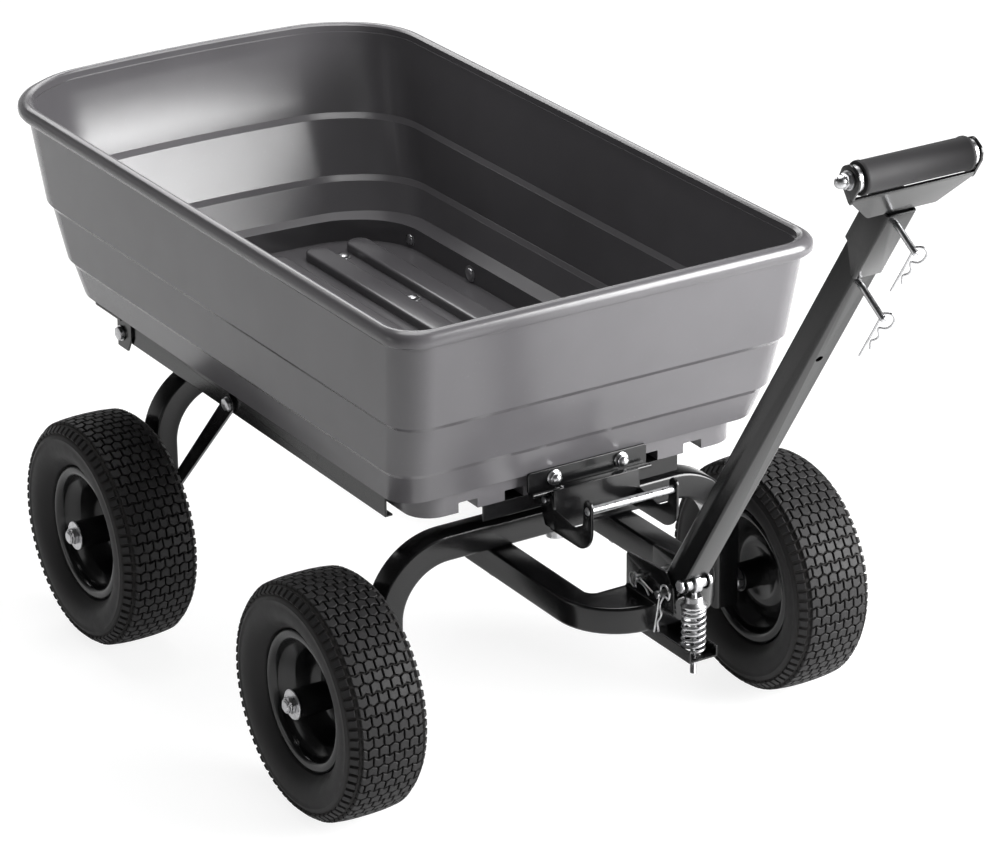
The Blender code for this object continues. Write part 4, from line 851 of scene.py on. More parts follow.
def dished_rim():
    """One rim about local Z: rolled lips, a drop well, a stepped disc and the hub's tube."""
    lip = [(0.064, 0.015), (0.066, 0.019), (0.076, 0.026), (0.0795, 0.029), (0.081, 0.033),
           (0.082, 0.0375), (0.0845, 0.0408), (0.088, 0.0425), (0.092, 0.0428), (0.0955, 0.0418),
           (0.0978, 0.0395), (0.098, 0.037), (0.096, 0.0352), (0.0925, 0.0345), (0.0845, 0.033),
           (0.0825, 0.029), (0.079, 0.0255), (0.069, 0.0185), (0.0672, 0.015)]
    disc = [(0.0098, 0.0545), (0.018, 0.0545), (0.0195, 0.0533), (0.0195, -0.003), (0.021, -0.0065),
            (0.025, -0.0085), (0.032, -0.009), (0.035, -0.011), (0.037, -0.014), (0.047, -0.0155),
            (0.052, -0.014), (0.056, -0.01), (0.06, -0.002)]
    back = [(0.06, -0.009), (0.056, -0.014), (0.05, -0.0185), (0.04, -0.0195), (0.035, -0.017),
            (0.021, -0.015), (0.0195, -0.018), (0.0195, -0.0533), (0.018, -0.0545),
            (0.0098, -0.0545)]
    profile = disc + lip + [(r, -a) for r, a in lip[::-1]] + back
    return lathe("rim", profile, 72, closed=True)


def axle_end(name):
    """The washer, castle nut, bolt end and split pin at one hub, with the inner shoulder."""
    out = HUB_END
    pin = out + 0.0109
    return joined(
        name,
        lathe("washer", [(0.0085, out), (0.0202, out), (0.0208, out + 0.0006),
                         (0.0208, out + 0.002), (0.0202, out + 0.0026),
                         (0.0085, out + 0.0026)], 40),
        nut("nut", 0.0215, out + 0.0026, out + 0.0096, 0.3),
        lathe("crown", [(0.01, out + 0.0094), (0.0098, out + 0.0116), (0.0092, out + 0.0122),
                        (0.008, out + 0.0122), (0.008, out + 0.01)], 32),
        lathe("end", [(0.0078, out), (0.0078, out + 0.0128), (0.0066, out + 0.0138)], 28),
        rod("inner", 0.017, -0.065, -out, 36, 0.0008),
        wire("legs", [(-0.0128, 0.0, pin), (-0.006, 0.0, pin), (0.006, 0.0, pin),
                      (0.0108, 0.0, pin), (0.0122, 0.0018, out + 0.0096),
                      (0.0124, 0.0052, out + 0.007)], 0.0011),
        wire("eye", [(-0.0128 - 0.0022 * (1 - cos(a)), 0.0022 * sin(a), pin)
                     for a in (0, 0.7, 1.4, 2.1, 2.8, 3.5, 4.2, 4.9, 5.6, 6.2)], 0.001))


class CART_OT_wheels(bpy.types.Operator):
    """Build one turf tyre and one black rim and fit them on all four axle ends"""
    bl_idname = "cart.wheels"
    bl_label = "Wheels"

    def execute(self, context):
        tyre, rim = turf_tyre(), dished_rim()
        for end, axle in AXLE_Y.items():
            for name, side in SIDES:
                corner = "%s_%s" % (end, name)
                place = along_x(side * WHEEL.x, axle, WHEEL.z, side)
                done(copied(tyre, "tyre_" + corner, place), corner + "_wheel", "tyre_rubber",
                     corner + "_tyre", smooth=38)
                done(copied(rim, "rim_" + corner, place), corner + "_wheel", "black_powder_coat",
                     corner + "_rim", smooth=50)
                bolt = set_place(axle_end("axle_end_" + corner), place @ SPLIT_PIN_TURN)
                done(bolt, "front_axle" if end == "front" else "chassis", "bright_zinc",
                     "%s_spindle_%s" % (end, name))
        bpy.data.objects.remove(tyre)
        bpy.data.objects.remove(rim)
        return {"FINISHED"}


# Axles and steering frame

TUBE, TUBE_WALL = 0.038, 0.0025
ARCH_HALF_SPAN, ARCH_BEND = 0.267, 0.09
ARCH_FOOT = 0.137
ARCH_TOPS = {"front": 0.356, "rear": 0.3867}
FRAME_TOP = ARCH_TOPS["front"] - TUBE - 0.0003
FRAME_BOTTOM = FRAME_TOP - TUBE


def bent_arch(name, top, axle_y):
    """Square tube drawn up one leg, round two bends and down the other, open at its feet."""
    rest()
    bpy.ops.mesh.primitive_plane_add(size=TUBE, location=at(-ARCH_HALF_SPAN, axle_y, ARCH_FOOT))
    arch = named(name)
    bpy.ops.object.transform_apply(location=True)
    shoulder = top - TUBE / 2 - ARCH_BEND
    reach = ARCH_HALF_SPAN - ARCH_BEND
    with shaping(arch, "VERT"):
        bpy.ops.mesh.select_all(action="SELECT")
        bpy.ops.mesh.bevel(offset=sizes().tube_corner, segments=4, affect="VERTICES")
        bpy.ops.mesh.delete(type="ONLY_FACE")
        bpy.ops.mesh.select_all(action="SELECT")
        push(z=shoulder - ARCH_FOOT)
        for side, run in ((-1, 2 * reach), (1, 0)):
            bpy.ops.mesh.spin(steps=18, angle=-pi / 2, center=at(side * reach, axle_y, shoulder),
                              axis=(0, 1, 0))
            if run:
                push(x=run)
        push(z=ARCH_FOOT - shoulder)
    tidy(arch)
    use(arch, "SOLIDIFY", thickness=TUBE_WALL, offset=-1, use_even_offset=True)
    return arch


def frame_outline(inset, rear):
    """The fork's outline from above, drawn in by an inset."""
    half_out, half_in = 0.114 - inset, 0.076 + inset
    front_out, front_in = -0.578 + inset, -0.508 - inset
    corners = [(half_out, rear), (half_out, front_out), (-half_out, front_out), (-half_out, rear),
               (-half_in, rear), (-half_in, front_in), (half_in, front_in), (half_in, rear)]
    outer, inner = 0.088 - inset, 0.012 + inset
    return rounded(corners, [0, outer, outer, 0, 0, inner, inner, 0], 12)


class CART_OT_axles(bpy.types.Operator):
    """Bend the two axle arches and lay the steering frame under the front one"""
    bl_idname = "cart.axles"
    bl_label = "Axle arches and steering frame"

    def execute(self, context):
        for end, body in (("front", "front_axle"), ("rear", "chassis")):
            arch = bent_arch("arch_" + end, ARCH_TOPS[end], AXLE_Y[end])
            done(arch, body, "black_powder_coat", end + "_axle_arch", smooth=40)
        middle = FRAME_TOP - TUBE / 2
        fork = plate("steering_fork", [frame_outline(0, -0.262)], TUBE, across_z(middle), 0.005, 3)
        hollow = plate("hollow", [frame_outline(TUBE_WALL, -0.252)], TUBE - 2 * TUBE_WALL,
                       across_z(middle), 0.003, 2)
        cut(fork, hollow)
        done(fork, "front_axle", "black_powder_coat", "steering_frame", smooth=40)
        for name, side in SIDES:
            bolt = joined("fork_bolt_" + name, nut("head", 0.017, 0.0012, 0.0075),
                          washer(0.0105, 0, 0.0014), rod("shank", 0.005, -0.044, 0.001, 20))
            set_place(bolt, Matrix.Translation(at(side * 0.095, AXLE_Y["front"],
                                                  FRAME_BOTTOM - 0.0003))
                      @ Matrix.Rotation(pi, 4, "X"))
            done(bolt, "front_axle", "bright_zinc", "frame_bolt_" + name)
        return {"FINISHED"}


# Handle bracket and spring

def bracket_outline():
    """One cheek of the handle bracket from the side."""
    y, z = TILT_PIN
    base = FRAME_TOP + 0.0003
    corners = [(y + 0.087, base), (y + 0.087, z + 0.0245), (y - 0.004, z + 0.0305),
               (y - 0.018, z + 0.0145), (y - 0.023, base)]
    return rounded(corners, [0, 0.005, 0.01, 0.008, 0], 6)


class CART_OT_bracket(bpy.types.Operator):
    """Weld up the bracket that the handle tilts in, with its two cheeks"""
    bl_idname = "cart.bracket"
    bl_label = "Handle bracket"

    def execute(self, context):
        y = TILT_PIN[0]
        inner, thick = 0.0186, 0.004
        holes = [circle(TILT_PIN, 0.0055), circle(STOW_PIN, 0.0045)]
        cheeks = []
        for side in (-1, 1):
            cheeks.append(plate("cheek", [bracket_outline()] + holes, thick,
                                across_x(side * (inner + thick / 2)), 0.0007, 2))
            seam = [(side * (inner + thick + 0.0004), y + back, FRAME_TOP + 0.0012)
                    for back in (-0.02, 0.01, 0.045, 0.085)]
            cheeks.append(wire("bead", seam, 0.002, Matrix.Translation((0, MID, 0)), 2))
        web = block("web", (-inner - 0.001, inner + 0.001), (MID + y + 0.039, MID + y + 0.0865),
                    (FRAME_TOP + 0.0003, FRAME_TOP + 0.0033), 0.0004)
        done(joined("handle_cheeks", *cheeks, web), "front_axle", "black_powder_coat",
             "handle_bracket")
        return {"FINISHED"}


SPRING_Y = -0.633
SPRING_EYE_Z = 0.363
SEAT_Z, CAP_Z = 0.2663, 0.3307


def coil_points(turns=8.0, closed=1.0, mean=0.014, per_turn=22):
    """A compression spring's centre line: closed turns at both ends, open ones between."""
    thick = sizes().spring_wire
    low, high, pitch = SEAT_Z + thick / 2, CAP_Z - thick / 2, thick * 1.02
    open_rise = high - low - 2 * closed * pitch
    count = int(turns * per_turn)
    points = []
    for i in range(count + 1):
        turn = turns * i / count
        start, end = min(turn, closed), min(turns - turn, closed)
        share = (turn - start) / (turns - 2 * closed) if turn < turns - closed else 1.0
        rise = (start + closed - end) * pitch + share * open_rise
        points.append((mean * cos(2 * pi * turn), mean * sin(2 * pi * turn), low + rise))
    return points


class CART_OT_spring(bpy.types.Operator):
    """Wind the handle's spring and fit its cap, eye rod and lock nut"""
    bl_idname = "cart.spring"
    bl_label = "Handle spring"

    def execute(self, context):
        down = Matrix.Translation(at(0, SPRING_Y, 0))
        spring = wire("spring_coil", coil_points(), sizes().spring_wire / 2, down, 3)
        done(spring, "spring_guide", "bright_zinc", "handle_spring", smooth=60)
        at(0, SPRING_Y, 0.331)
        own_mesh(spring)
        cap = lathe("spring_seat", [(0.0045, 0.3312), (0.0166, 0.3312), (0.0172, 0.3318),
                                    (0.0172, 0.3334), (0.0166, 0.3342), (0.0124, 0.3372),
                                    (0.0116, 0.3385), (0.0114, 0.344), (0.0108, 0.3452),
                                    (0.0045, 0.3452)], 40, place=down)
        done(cap, "spring_guide", "bright_zinc", "spring_cap")
        eye = plate("eye", [circle((SPRING_Y, SPRING_EYE_Z), radius, steps)
                            for radius, steps in ((0.013, 40), (0.0083, 32))],
                    0.01, across_x(0), 0.0012, 2)
        thread = [(0.0034, 0.2362)]
        z = 0.237
        while z < 0.262:
            thread += [(0.004, z), (0.0034, z + 0.0006)]
            z += 0.00125
        thread += [(0.004, 0.264), (0.004, 0.3525)]
        shaft = lathe("shaft", thread, 24, place=down)
        done(joined("eye_rod", eye, shaft), "spring_guide", "bright_zinc", "spring_rod")
        lock = joined("rod_nut", nut("hexagon", 0.013, 0.253, 0.2592, 0.4),
                      washer(0.0085, 0.2592, 0.2606, 0.004))
        done(set_place(lock, down), "spring_guide", "bright_zinc")
        return {"FINISHED"}


# Handle

HANDLE = 0.036
HANDLE_TOP, HANDLE_FOOT = 0.69, 0.012
PIN_SPOTS, SPARE_HOLE = (0.648, 0.762), 0.5056
SLEEVE_HALF, SLEEVE_FOOT, SLEEVE_TOP = 0.0215, 0.668, 0.78


def square_loop(half, corner, steps=5):
    return rounded(rectangle(-half, half, -half, half), corner, steps)


def square_tube(name, half, wall, corner, low, high):
    """A length of square tube along the handle, with its corners rounded."""
    loops = [square_loop(half, corner), square_loop(half - wall, max(0.0006, corner - wall))]
    return plate(name, loops, high - low, on_handle((low + high) / 2), 0.0004, 1)


class CART_OT_handle(bpy.types.Operator):
    """Cut and drill the handle tube, its clevis sleeve and the grip's yoke"""
    bl_idname = "cart.handle"
    bl_label = "Handle and yoke"

    def execute(self, context):
        self.tube()
        self.clevis()
        self.yoke()
        return {"FINISHED"}

    def tube(self):
        half, wall = HANDLE / 2, 0.002
        tube = square_tube("pull_tube", half, wall, sizes().handle_corner, -HANDLE_FOOT, HANDLE_TOP)
        mouth = block("mouth", (0.001 - half + wall, half - wall - 0.001), (-0.03, -0.004),
                      (-0.02, 0.052), 0.0, on_handle(0))
        cut(tube, mouth)
        for side in (-1, 1):
            cheek = plate("cheek", [circle((SPRING_Y, SPRING_EYE_Z), 0.0115, 32)], wall,
                          across_x(side * (half - wall / 2 - 0.0003)), 0.0004)
            cut(tube, cheek, "UNION")
        for radius, place in ((0.0055, along_x(0, SPRING_Y, SPRING_EYE_Z)),
                              (0.0055, along_x(0, *TILT_PIN)),
                              (0.005, handle_cross(SPARE_HOLE)),
                              (0.0045, handle_cross(PIN_SPOTS[0]))):
            drill(tube, radius, place)
        done(tube, "handle", "black_powder_coat", "handle_tube", smooth=40)
        collar = joined("cross_bolt", rod("bolt", 0.005, -0.023, 0.0225, 24),
                        lathe("sleeve", [(0.005, -0.015), (0.008, -0.015), (0.008, 0.015),
                                         (0.005, 0.015)], 32),
                        nut("nut", 0.015, -0.0233, -0.0183),
                        nut("head", 0.015, 0.0183, 0.0233, 0.2))
        set_place(collar, along_x(0, SPRING_Y, SPRING_EYE_Z))
        done(collar, "handle", "bright_zinc", "spring_cross_bolt")

    def clevis(self):
        half, inside = SLEEVE_HALF, HANDLE / 2 + 0.0004
        sleeve = square_tube("clevis_sleeve", half, half - inside, 0.0045, SLEEVE_FOOT, SLEEVE_TOP)
        slope = [(-half - 0.01, 0.648), (half + 0.01, 0.648), (half + 0.01, 0.698),
                 (inside - 0.004, 0.698), (-inside, 0.667), (-half - 0.01, 0.667)]
        wedge = plate("wedge", [[handle_spot(rear, reach) for rear, reach in slope]], 0.1,
                      across_x(0), 0.0)
        cut(sleeve, wedge)
        drill(sleeve, 0.0045, handle_cross(PIN_SPOTS[1]))
        done(sleeve, "handle", "black_powder_coat", "handle_clevis", smooth=40)

    def yoke(self):
        stem = square_tube("stem", 0.01565, 0.002, 0.003, 0.612, 0.792)
        for reach in PIN_SPOTS:
            drill(stem, 0.0045, handle_cross(reach))
        thick, half, front = 0.004, 0.088, 0.0175
        low, high = 0.783, 0.822
        web = rounded([(-0.049, low), (0.049, low), (half, high), (half, high + 0.004),
                       (-half, high + 0.004), (-half, high)], [0.006, 0.006, 0.004, 0, 0, 0.004], 5)
        spot = at(0, *TILT_PIN) - (front - thick / 2) * BEHIND
        place = facing(spot, (1, 0, 0), ALONG, -BEHIND)
        parts = [stem, plate("web", [web], thick, place, 0.0008, 2)]
        reach = 0.842
        ear = rounded([(-front, high - 0.004), (-front + thick, high - 0.004),
                       (0.0165, reach - 0.012), (0.0185, reach + 0.003), (0.0105, reach + 0.0165),
                       (-0.0105, reach + 0.0165), (-front, reach + 0.004)],
                      [0, 0, 0.008, 0.012, 0.012, 0.01, 0.008], 5)
        ear = [handle_spot(rear, up) for rear, up in ear]
        hole = circle(handle_spot(0, reach), 0.0065, 28)
        for side in (-1, 1):
            parts.append(plate("ear", [ear, hole], thick, across_x(side * (half - thick / 2)),
                               0.0008, 2))
            foot = spot + Vector((side * 0.016, 0, 0)) + (low + 0.001) * ALONG
            parts.append(wire("bead", (foot, foot + 0.0085 * ALONG), 0.0016, rings=2))
        done(joined("yoke_plates", *parts), "handle", "black_powder_coat", "grip_yoke", smooth=40)


def grip_profile(half, radius):
    """The grip from end to end, a little thicker behind each rounded end."""
    end = [(0.0068, half), (radius - 0.0022, half), (radius - 0.0006, half - 0.0008),
           (radius, half - 0.0026), (radius, half - 0.0055), (radius - 0.0009, half - 0.0068)]
    return [(r, -a) for r, a in end] + end[::-1]


class CART_OT_grip(bpy.types.Operator):
    """Turn the grip and fit its through-bolt, washers and end nut"""
    bl_idname = "cart.grip"
    bl_label = "Grip"

    def execute(self, context):
        place = Matrix.Translation(GRIP_SPOT) @ Matrix.Rotation(pi / 2, 4, "Y")
        grip = lathe("rubber_grip", grip_profile(0.0772, 0.0205), 56, place=place)
        done(grip, "grip", "grip_rubber", "grip")
        out = 0.0883
        bolt = [rod("bolt", 0.0058, -out - 0.008, out + 0.001, 28)]
        for side in (-1, 1):
            low, high = sorted((side * 0.0776, side * 0.0837))
            ring = [(0.006, low), (0.0152, low), (0.016, low + 0.0006), (0.016, high - 0.0006),
                    (0.0152, high), (0.006, high)]
            bolt.append(lathe("washer", ring, 36))
        bolt += [
            lathe("washer", [(0.006, out), (0.0112, out), (0.0116, out + 0.0012),
                             (0.006, out + 0.0016)], 36),
            nut("head", 0.0165, out + 0.0012, out + 0.006, 0.25),
            lathe("flange", [(0.006, -out), (0.0116, -out), (0.0116, -out - 0.0016),
                             (0.006, -out - 0.0016)], 36),
            nut("hexagon", 0.017, -out - 0.0085, -out - 0.0014, 0.1),
            lathe("dome", [(0.0078, -out - 0.008)] + [
                (0.0078 * cos(a), -out - 0.011 - 0.008 * sin(a))
                for a in (0, 0.35, 0.7, 1.0, 1.25, 1.45)], 36)]
        fitting = set_place(joined("grip_bolt_set", *bolt), place)
        done(fitting, "handle", "bright_zinc", "grip_bolt")
        return {"FINISHED"}


# Pins and spring clips

def smooth_line(spots, rows):
    """Points of a Catmull-Rom line through flat spots."""
    line = []
    for a, b, c, d in zip([spots[0], *spots], spots, spots[1:], [*spots[2:], spots[-1]]):
        for t in [row / rows for row in range(rows)]:
            line.append(tuple(0.5 * (2 * q + (r - p) * t + (2 * p - 5 * q + 4 * r - s) * t * t
                                     + (3 * q - p - 3 * r + s) * t ** 3)
                              for p, q, r, s in zip(a, b, c, d)) + (0,))
    return line + [(*spots[-1], 0)]


def eye_clip(pin_radius, leg):
    """A spring clip in its own plane: a leg through the pin, a round eye, a wavy leg beside it."""
    radius, beside = 0.01, pin_radius + sizes().clip_wire / 2 + 0.0006
    eye_y = pin_radius + 0.003
    eye = [(radius + radius * cos(pi - a * pi / 16), eye_y + radius * sin(a * pi / 16))
           for a in range(1, 20)]
    waves = [(beside + 0.0045, 0.003), (beside, -0.003), (0.004, -0.016), (0.009, -0.028),
             (0.0042, -0.042), (0.0085, -0.054)]
    waves = [wave for wave in waves if wave[1] > 0.004 - leg]
    straight = [(0, -leg, 0), (0, -leg / 2, 0), (0, eye_y, 0)]
    return straight + [(*spot, 0) for spot in eye] + smooth_line([eye[-1]] + waves, 10)[1:]


def loop_clip(leg):
    """A looped clip in its own plane: a straight leg, a wide D round the pin's end, a wavy leg."""
    return smooth_line([
        (0, -leg), (0, -0.03), (0, 0.002), (0.003, 0.008), (0.0096, 0.01), (0.015, 0.004),
        (0.0153, -0.007), (0.0115, -0.015), (0.0046, -0.018), (0.0046, -0.0225), (0.0086, -0.0305),
        (0.0074, -0.038), (0.0036, -0.044), (0.007, -0.056)], 6)


class CART_OT_pins(bpy.types.Operator):
    """Turn the tilt, stow and pull pins and bend their spring clips"""
    bl_idname = "cart.pins"
    bl_label = "Pins and clips"

    def execute(self, context):
        turn = Matrix.Rotation(radians(12), 4, "Z") @ Matrix.Rotation(pi, 4, "Y")
        self.cross_pin("tilt_pin", TILT_PIN, 0.005, turn, 0.06)
        self.cross_pin("stow_pin", STOW_PIN, 0.004, Matrix.Rotation(radians(-74), 4, "Z"), 0.034)
        for name, reach, past in zip(("lower", "upper"), PIN_SPOTS, (0.055, 0.045)):
            self.pull_pin(name, reach, past)
        return {"FINISHED"}

    def cross_pin(self, name, spot, radius, turn, leg):
        outside, tail = 0.0229, 0.0349
        profile = [(radius - 0.0008, -tail), (radius, -tail + 0.0008), (radius, outside),
                   (radius + 0.0034, outside), (radius + 0.004, outside + 0.0008),
                   (radius + 0.004, outside + 0.0026), (radius + 0.0026, outside + 0.004)]
        done(lathe(name + "_turned", profile, 32, place=along_x(0, *spot)), "front_axle",
             "bright_zinc", name)
        place = across_x(-(outside + 0.006)) @ Matrix.Translation((*spot, 0)) @ turn
        clip = wire(name + "_spring_clip", eye_clip(radius, leg), sizes().clip_wire / 2, place)
        done(clip, "front_axle", "bright_zinc", name + "_clip", smooth=60)

    def pull_pin(self, name, reach, past):
        half = SLEEVE_HALF if reach > SLEEVE_FOOT else HANDLE / 2
        tail = half + past
        profile = [(0.003, -tail), (0.004, -tail + 0.0012), (0.004, half + 0.0003),
                   (0.0074, half + 0.0003), (0.008, half + 0.001), (0.008, half + 0.003),
                   (0.006, half + 0.0043)]
        place = handle_cross(reach)
        pin = lathe("pull_pin_turned_" + name, profile, 32, place=place)
        done(pin, "handle", "bright_zinc", "pull_pin_" + name)
        spot = (place @ Matrix.Translation((0, 0, -tail + 0.0062)) @ Matrix.Rotation(pi, 4, "X")
                @ Matrix.Rotation(radians(-44), 4, "Y"))
        clip = wire("pull_spring_clip_" + name, loop_clip(0.074), sizes().clip_wire / 2, spot)
        done(clip, "handle", "bright_zinc", "pull_clip_" + name, smooth=60)


# Latch

LATCH = (-0.391, 0.404)
LATCH_BAR = (-0.49, 0.424)


class CART_OT_latch(bpy.types.Operator):
    """Fold the latch: its curved ears, hook, release bar, pivot rod and striker plate"""
    bl_idname = "cart.latch"
    bl_label = "Latch"

    def execute(self, context):
        y, z = LATCH
        half = 0.066
        tip = [(LATCH_BAR[0] - 0.009 * cos(turn), LATCH_BAR[1] + 0.006 + 0.009 * sin(turn))
               for turn in [pi * k / 8 for k in range(9)]]
        outer = rounded([(y - 0.011, 0.365), (LATCH_BAR[0] - 0.009, 0.365), tip[0]],
                        [0, 0.052, 0], 14, closed=False)
        inner = rounded([tip[-1], (-0.479, 0.401), (-0.456, 0.3885), (y - 0.011, 0.396)],
                        [0, 0.008, 0.012, 0], 6, closed=False)
        strip = outer + tip[1:-1] + inner
        heel = [(0.002, -0.037), (0.011, -0.018), (0.011, 0.001), (0.0105, 0.003), (0.005, 0.008),
                (-0.012, 0.0085), (-0.0145, 0.0065), (-0.021, -0.021), (-0.021, -0.037)]
        heel = [(y + a, z + b) for a, b in heel]
        parts = []
        for side in (-1, 1):
            place = across_x(side * half)
            parts += [plate("heel", [heel, circle(LATCH, 0.0053)], 0.004, place, 0.0006, 2),
                      plate("strip", [strip], 0.0038, place, 0.0006, 2)]
        web_front, top = MID + y - 0.0175, z + 0.0175
        web_back = web_front + 0.004
        parts += [block("web", (-half, half), (web_front, web_back), (z - 0.036, top), 0.0006),
                  block("hook", (-0.05, 0.05), (web_front + 0.002, web_front + 0.0113),
                        (top - 0.0025, top), 0.0006)]
        done(joined("latch_ears", *parts), "latch", "black_powder_coat", "latch_lever")
        bar = rod("release_bar", 0.0055, -0.069, 0.069, 32, 0.0008)
        done(set_place(bar, along_x(0, *LATCH_BAR)), "latch", "bright_zinc", "latch_release_bar")
        pivot = rod("pivot_rod", 0.005, -0.072, 0.072, 32, 0.0008)
        done(set_place(pivot, along_x(0, *LATCH)), "chassis", "bright_zinc", "latch_pivot_rod")
        self.striker()
        return {"FINISHED"}

    def striker(self):
        """The plate on the base's front face, folded out along its lower edge, and its nuts."""
        front, thick, half, low = -0.3868, 0.004, 0.092, 0.4145
        face = plate("face", [rounded(rectangle(-half, half, low, 0.4435), 0.004, 4)], thick,
                     across_y(front + thick / 2), 0.0006, 2)
        lip = block("lip", (-half, half), (MID + front - 0.01, MID + front + 0.001),
                    (low, low + 0.003), 0.0008)
        roll = set_place(rod("roll", 0.003, -half, half), along_x(0, front - 0.01, 0.416))
        done(joined("striker_plate", face, lip, roll), "tub", "black_powder_coat", "latch_plate")
        for name, side in SIDES:
            bolt = joined("dome_nut_" + name, *dome_nut(0.016),
                          rod("shank", 0.005, -0.0134, 0.001, 20))
            place = (Matrix.Translation(at(side * 0.052, front - 0.0003, 0.43))
                     @ Matrix.Rotation(pi / 2, 4, "X"))
            done(set_place(bolt, place), "tub", "bright_zinc", "latch_plate_bolt_" + name)


def dome_nut(across):
    """The flange, hexagon and dome of an acorn nut that stands on local z = 0."""
    radius = across * 0.43
    dome = [(radius * cos(a), 0.0062 + radius * 0.72 * sin(a))
            for a in (0, 0.3, 0.6, 0.9, 1.15, 1.4)]
    return (lathe("flange", [(across * 0.66, 0), (across * 0.68, 0.0008), (across * 0.6, 0.0018),
                             (across * 0.4, 0.0018)], 36),
            nut("hexagon", across, 0.0012, 0.0058, 0.3), lathe("dome", [(radius, 0.005)] + dome))


# Chassis

KEPT = {
    "side_rail_left": 0.0012, "side_rail_right": 0.0012, "front_bolster": 0.0012,
    "rear_cross_beam": 0.0012, "rear_brace_left": 0.0006, "rear_brace_right": 0.0006,
    "hinge_bracket_left": 0.0006, "hinge_bracket_right": 0.0006, "latch_bracket": 0.0006,
    "tongue_channel": 0.001, "kingpin": 0.0006,
}
BOLTS = {"brace_bolt": (0.0046, 0.103, 0.4085, 0.0165), "hinge_bolt": (0.0039, 0.42, 0.405, 0.0185)}


class CART_OT_chassis(bpy.types.Operator):
    """Break the edges of the rails, beams and brackets, and bolt them together"""
    bl_idname = "cart.chassis"
    bl_label = "Chassis"

    def execute(self, context):
        for node, edge in KEPT.items():
            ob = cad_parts[node]
            weld = ob.modifiers.new("weld", "WELD")
            weld.merge_threshold = 0.00001
            break_edge = ob.modifiers.new("edges", "BEVEL")
            break_edge.width, break_edge.segments = edge, 2
            break_edge.limit_method, break_edge.angle_limit = "ANGLE", radians(50)
            slot = "bright_zinc" if node == "kingpin" else "black_powder_coat"
            for i in range(len(ob.data.materials)):
                ob.material_slots[i].material = finish(slot)
        for name, side in SIDES:
            for kind, (proud, y, z, across) in BOLTS.items():
                bolt = self.bolt("%s_set_%s" % (kind, name), -0.0033 - proud, across)
                set_place(bolt, along_x(side * (RAIL_OUT + proud), y, z, side))
                done(bolt, "chassis", "bright_zinc", "%s_%s" % (kind, name))
        return {"FINISHED"}

    def bolt(self, name, inside, across):
        """A hexagon head on a washer outside the rail and a nut inside it."""
        return joined(name, nut("head", across, 0.0014, 0.0058, 0.5),
                      washer(across * 0.62, 0, 0.0014, sides=36),
                      rod("shank", 0.005, inside - 0.0072, 0.001),
                      nut("nut", across * 0.94, inside - 0.0044, inside, 0.2))


# Studio

FLOOR_GLOW, FLOOR_SEEN, FLOOR_MIRRORED = 1.15, 0.74, 0.25
FADE_START, FADE_END = 1.8, 4.5
AMBIENT, SKY_LOW, SKY_HIGH = 0.17, 0.6, 0.05
LIGHT_SPREAD = radians(170)
LIGHTS = (
    # name, spot, aim, size, power
    ("key", (2.4, -2.4, 1.58), (0, 0.3, 0.55), (2.2, 2.3), 330),
    ("left_fill", (-4.2, 0.8, 1.3), (0, 0.2, 0.4), (1.6, 1.8), 10),
    ("back_strip", (0.6, 3.3, 2.6), (0, 0.2, 0.6), (3.6, 1.1), 60),
    ("top", (0.5, 0.6, 3.5), (0, 0.2, 0.5), (2.0, 2.6), 85),
)
CAMERA_SPOT = (-2.7739, -4.4466, 2.6823)
CAMERA_TURN, CAMERA_RISE, CAMERA_ROLL = radians(-31.914), radians(23.384), radians(-0.458)
FOCAL_PIXELS, IMAGE_WIDTH, SENSOR = 4246.9, 1000, 36


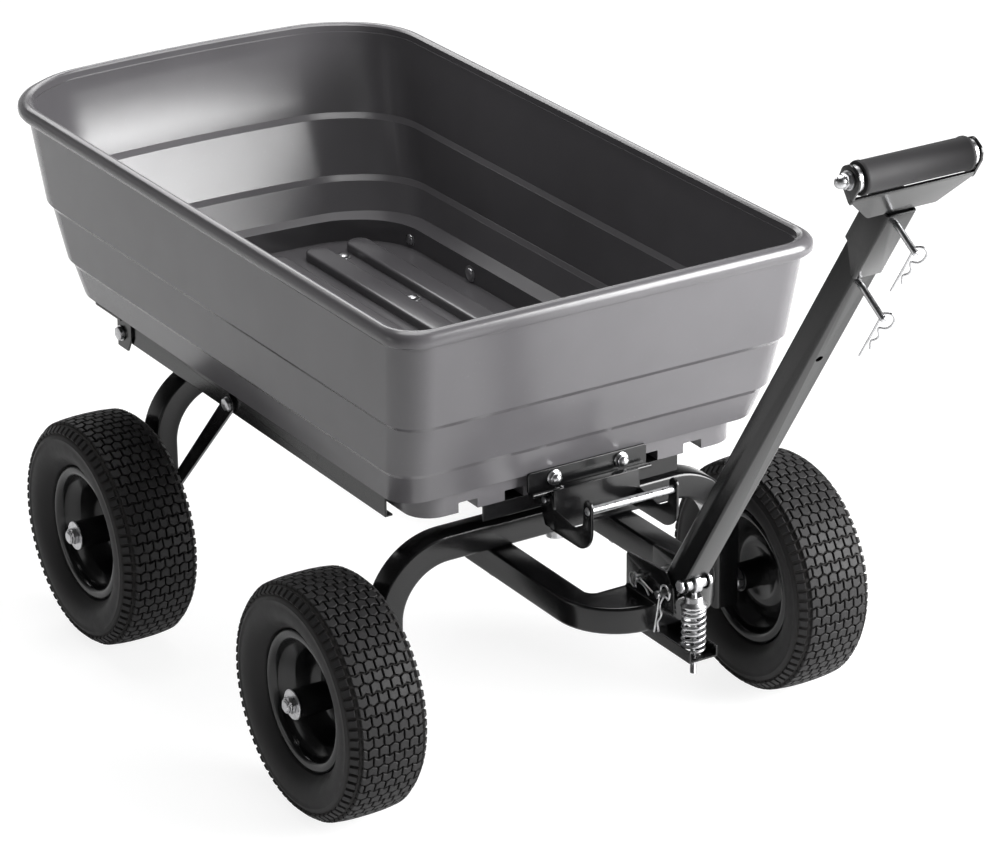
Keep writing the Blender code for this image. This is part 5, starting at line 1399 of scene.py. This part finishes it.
class CART_OT_studio(bpy.types.Operator):
    """Lay the pale floor, hang the soft lights and aim the camera"""
    bl_idname = "cart.studio"
    bl_label = "Studio"

    def execute(self, context):
        self.floor()
        self.lights()
        self.camera()
        context.scene.view_settings.view_transform = "Standard"
        return {"FINISHED"}

    def floor(self):
        """A pale floor with the cart's shadow, near white to the camera and all white far off."""
        rest()
        bpy.ops.mesh.primitive_plane_add(size=40, location=(0, 0, -0.0005))
        floor = named("studio_floor")
        write_place()
        paint = Paint("pale_floor", specular=0.0)
        paint.shader.inputs["Roughness"].default_value = 0.8
        paint.shader.inputs["Base Color"].default_value = (*colours().floor, 1)
        glow = paint.node("ShaderNodeEmission",
                          sockets={"Color": (1, 1, 1, 1), "Strength": FLOOR_GLOW})
        reach = paint.node("ShaderNodeVectorMath", {"operation": "LENGTH"}, {0: paint.place()},
                           out="Value")
        far = paint.ramp(reach, FADE_START, FADE_END)
        camera, mirrored = paint.rays()
        seen = camera * (FLOOR_SEEN + far * (1 - FLOOR_SEEN)) + mirrored * FLOOR_MIRRORED
        lit = Value(paint, paint.shader.outputs[0])
        mixed = paint.node("ShaderNodeMixShader", sockets={0: seen, 1: lit, 2: glow})
        paint.link(mixed, paint.tree.nodes["Material Output"].inputs["Surface"])
        floor.data.materials.append(paint.material)

    def lights(self):
        """A world that is white to the camera and plain to the cart, and four soft lamps."""
        world = bpy.context.scene.world = bpy.data.worlds.new("studio")
        world.use_nodes = True
        sky = Nodes(world.node_tree)
        height = sky.node("ShaderNodeSeparateXYZ", sockets={0: sky.node("ShaderNodeTexCoord")},
                          out="Z")
        band = sky.ramp(height, 0.05, 0.35, to_min=SKY_LOW, to_max=SKY_HIGH)
        camera, mirrored = sky.rays()
        back = sky.tree.nodes["Background"]
        back.inputs["Color"].default_value = (1, 1, 1, 1)
        sky.link(camera + mirrored * band + (1 - camera - mirrored) * AMBIENT,
                 back.inputs["Strength"])
        for name, spot, aim, size, power in LIGHTS:
            rest()
            bpy.ops.object.light_add(type="AREA", location=spot)
            lamp = named(name)
            lamp.rotation_euler = (Vector(aim) - Vector(spot)).to_track_quat("-Z", "Y").to_euler()
            lamp.data.shape = "RECTANGLE"
            lamp.data.size, lamp.data.size_y = size
            lamp.data.energy, lamp.data.spread = power, LIGHT_SPREAD

    def camera(self):
        """The photograph's viewing angle, rolled by a little about the line of sight."""
        turn, rise = CAMERA_TURN, CAMERA_RISE
        back = Vector((sin(turn) * cos(rise), -cos(turn) * cos(rise), sin(rise)))
        side = Vector((0, 0, 1)).cross(back).normalized()
        up = back.cross(side)
        right = cos(CAMERA_ROLL) * side + sin(CAMERA_ROLL) * up
        top = -sin(CAMERA_ROLL) * side + cos(CAMERA_ROLL) * up
        bpy.ops.object.camera_add()
        camera = bpy.context.object
        camera.matrix_world = facing(CAMERA_SPOT, right, top, back)
        camera.data.sensor_width = SENSOR
        camera.data.lens = FOCAL_PIXELS / IMAGE_WIDTH * SENSOR
        camera.data.clip_end = 60
        bpy.context.scene.camera = camera


# Add-on

PIECES = (CART_OT_tub, CART_OT_wheels, CART_OT_axles, CART_OT_bracket, CART_OT_spring,
          CART_OT_handle, CART_OT_grip, CART_OT_pins, CART_OT_latch, CART_OT_chassis,
          CART_OT_studio)


class CART_PT_panel(bpy.types.Panel):
    """Sizes, colours and one button for each group of pieces"""
    bl_label = "Garden Dump Cart"
    bl_idname = "CART_PT_panel"
    bl_space_type = "VIEW_3D"
    bl_region_type = "UI"
    bl_category = "Cart"

    def draw(self, context):
        for group in (context.scene.cart_sizes, context.scene.cart_colours):
            box = self.layout.box()
            for name in group.__annotations__:
                box.prop(group, name)
        for piece in PIECES:
            self.layout.operator(piece.bl_idname)


CLASSES = (CartSizes, CartColours, *PIECES, CART_PT_panel)


def register():
    for kind in CLASSES:
        bpy.utils.register_class(kind)
    bpy.types.Scene.cart_sizes = PointerProperty(type=CartSizes)
    bpy.types.Scene.cart_colours = PointerProperty(type=CartColours)


def unregister():
    del bpy.types.Scene.cart_sizes, bpy.types.Scene.cart_colours
    for kind in reversed(CLASSES):
        bpy.utils.unregister_class(kind)


def main():
    register()
    for make in ("tub", "wheels", "axles", "bracket", "spring", "handle", "grip", "pins", "latch",
                 "chassis", "studio"):
        getattr(bpy.ops.cart, make)()
    rest()


if __name__ == "__main__":
    main()
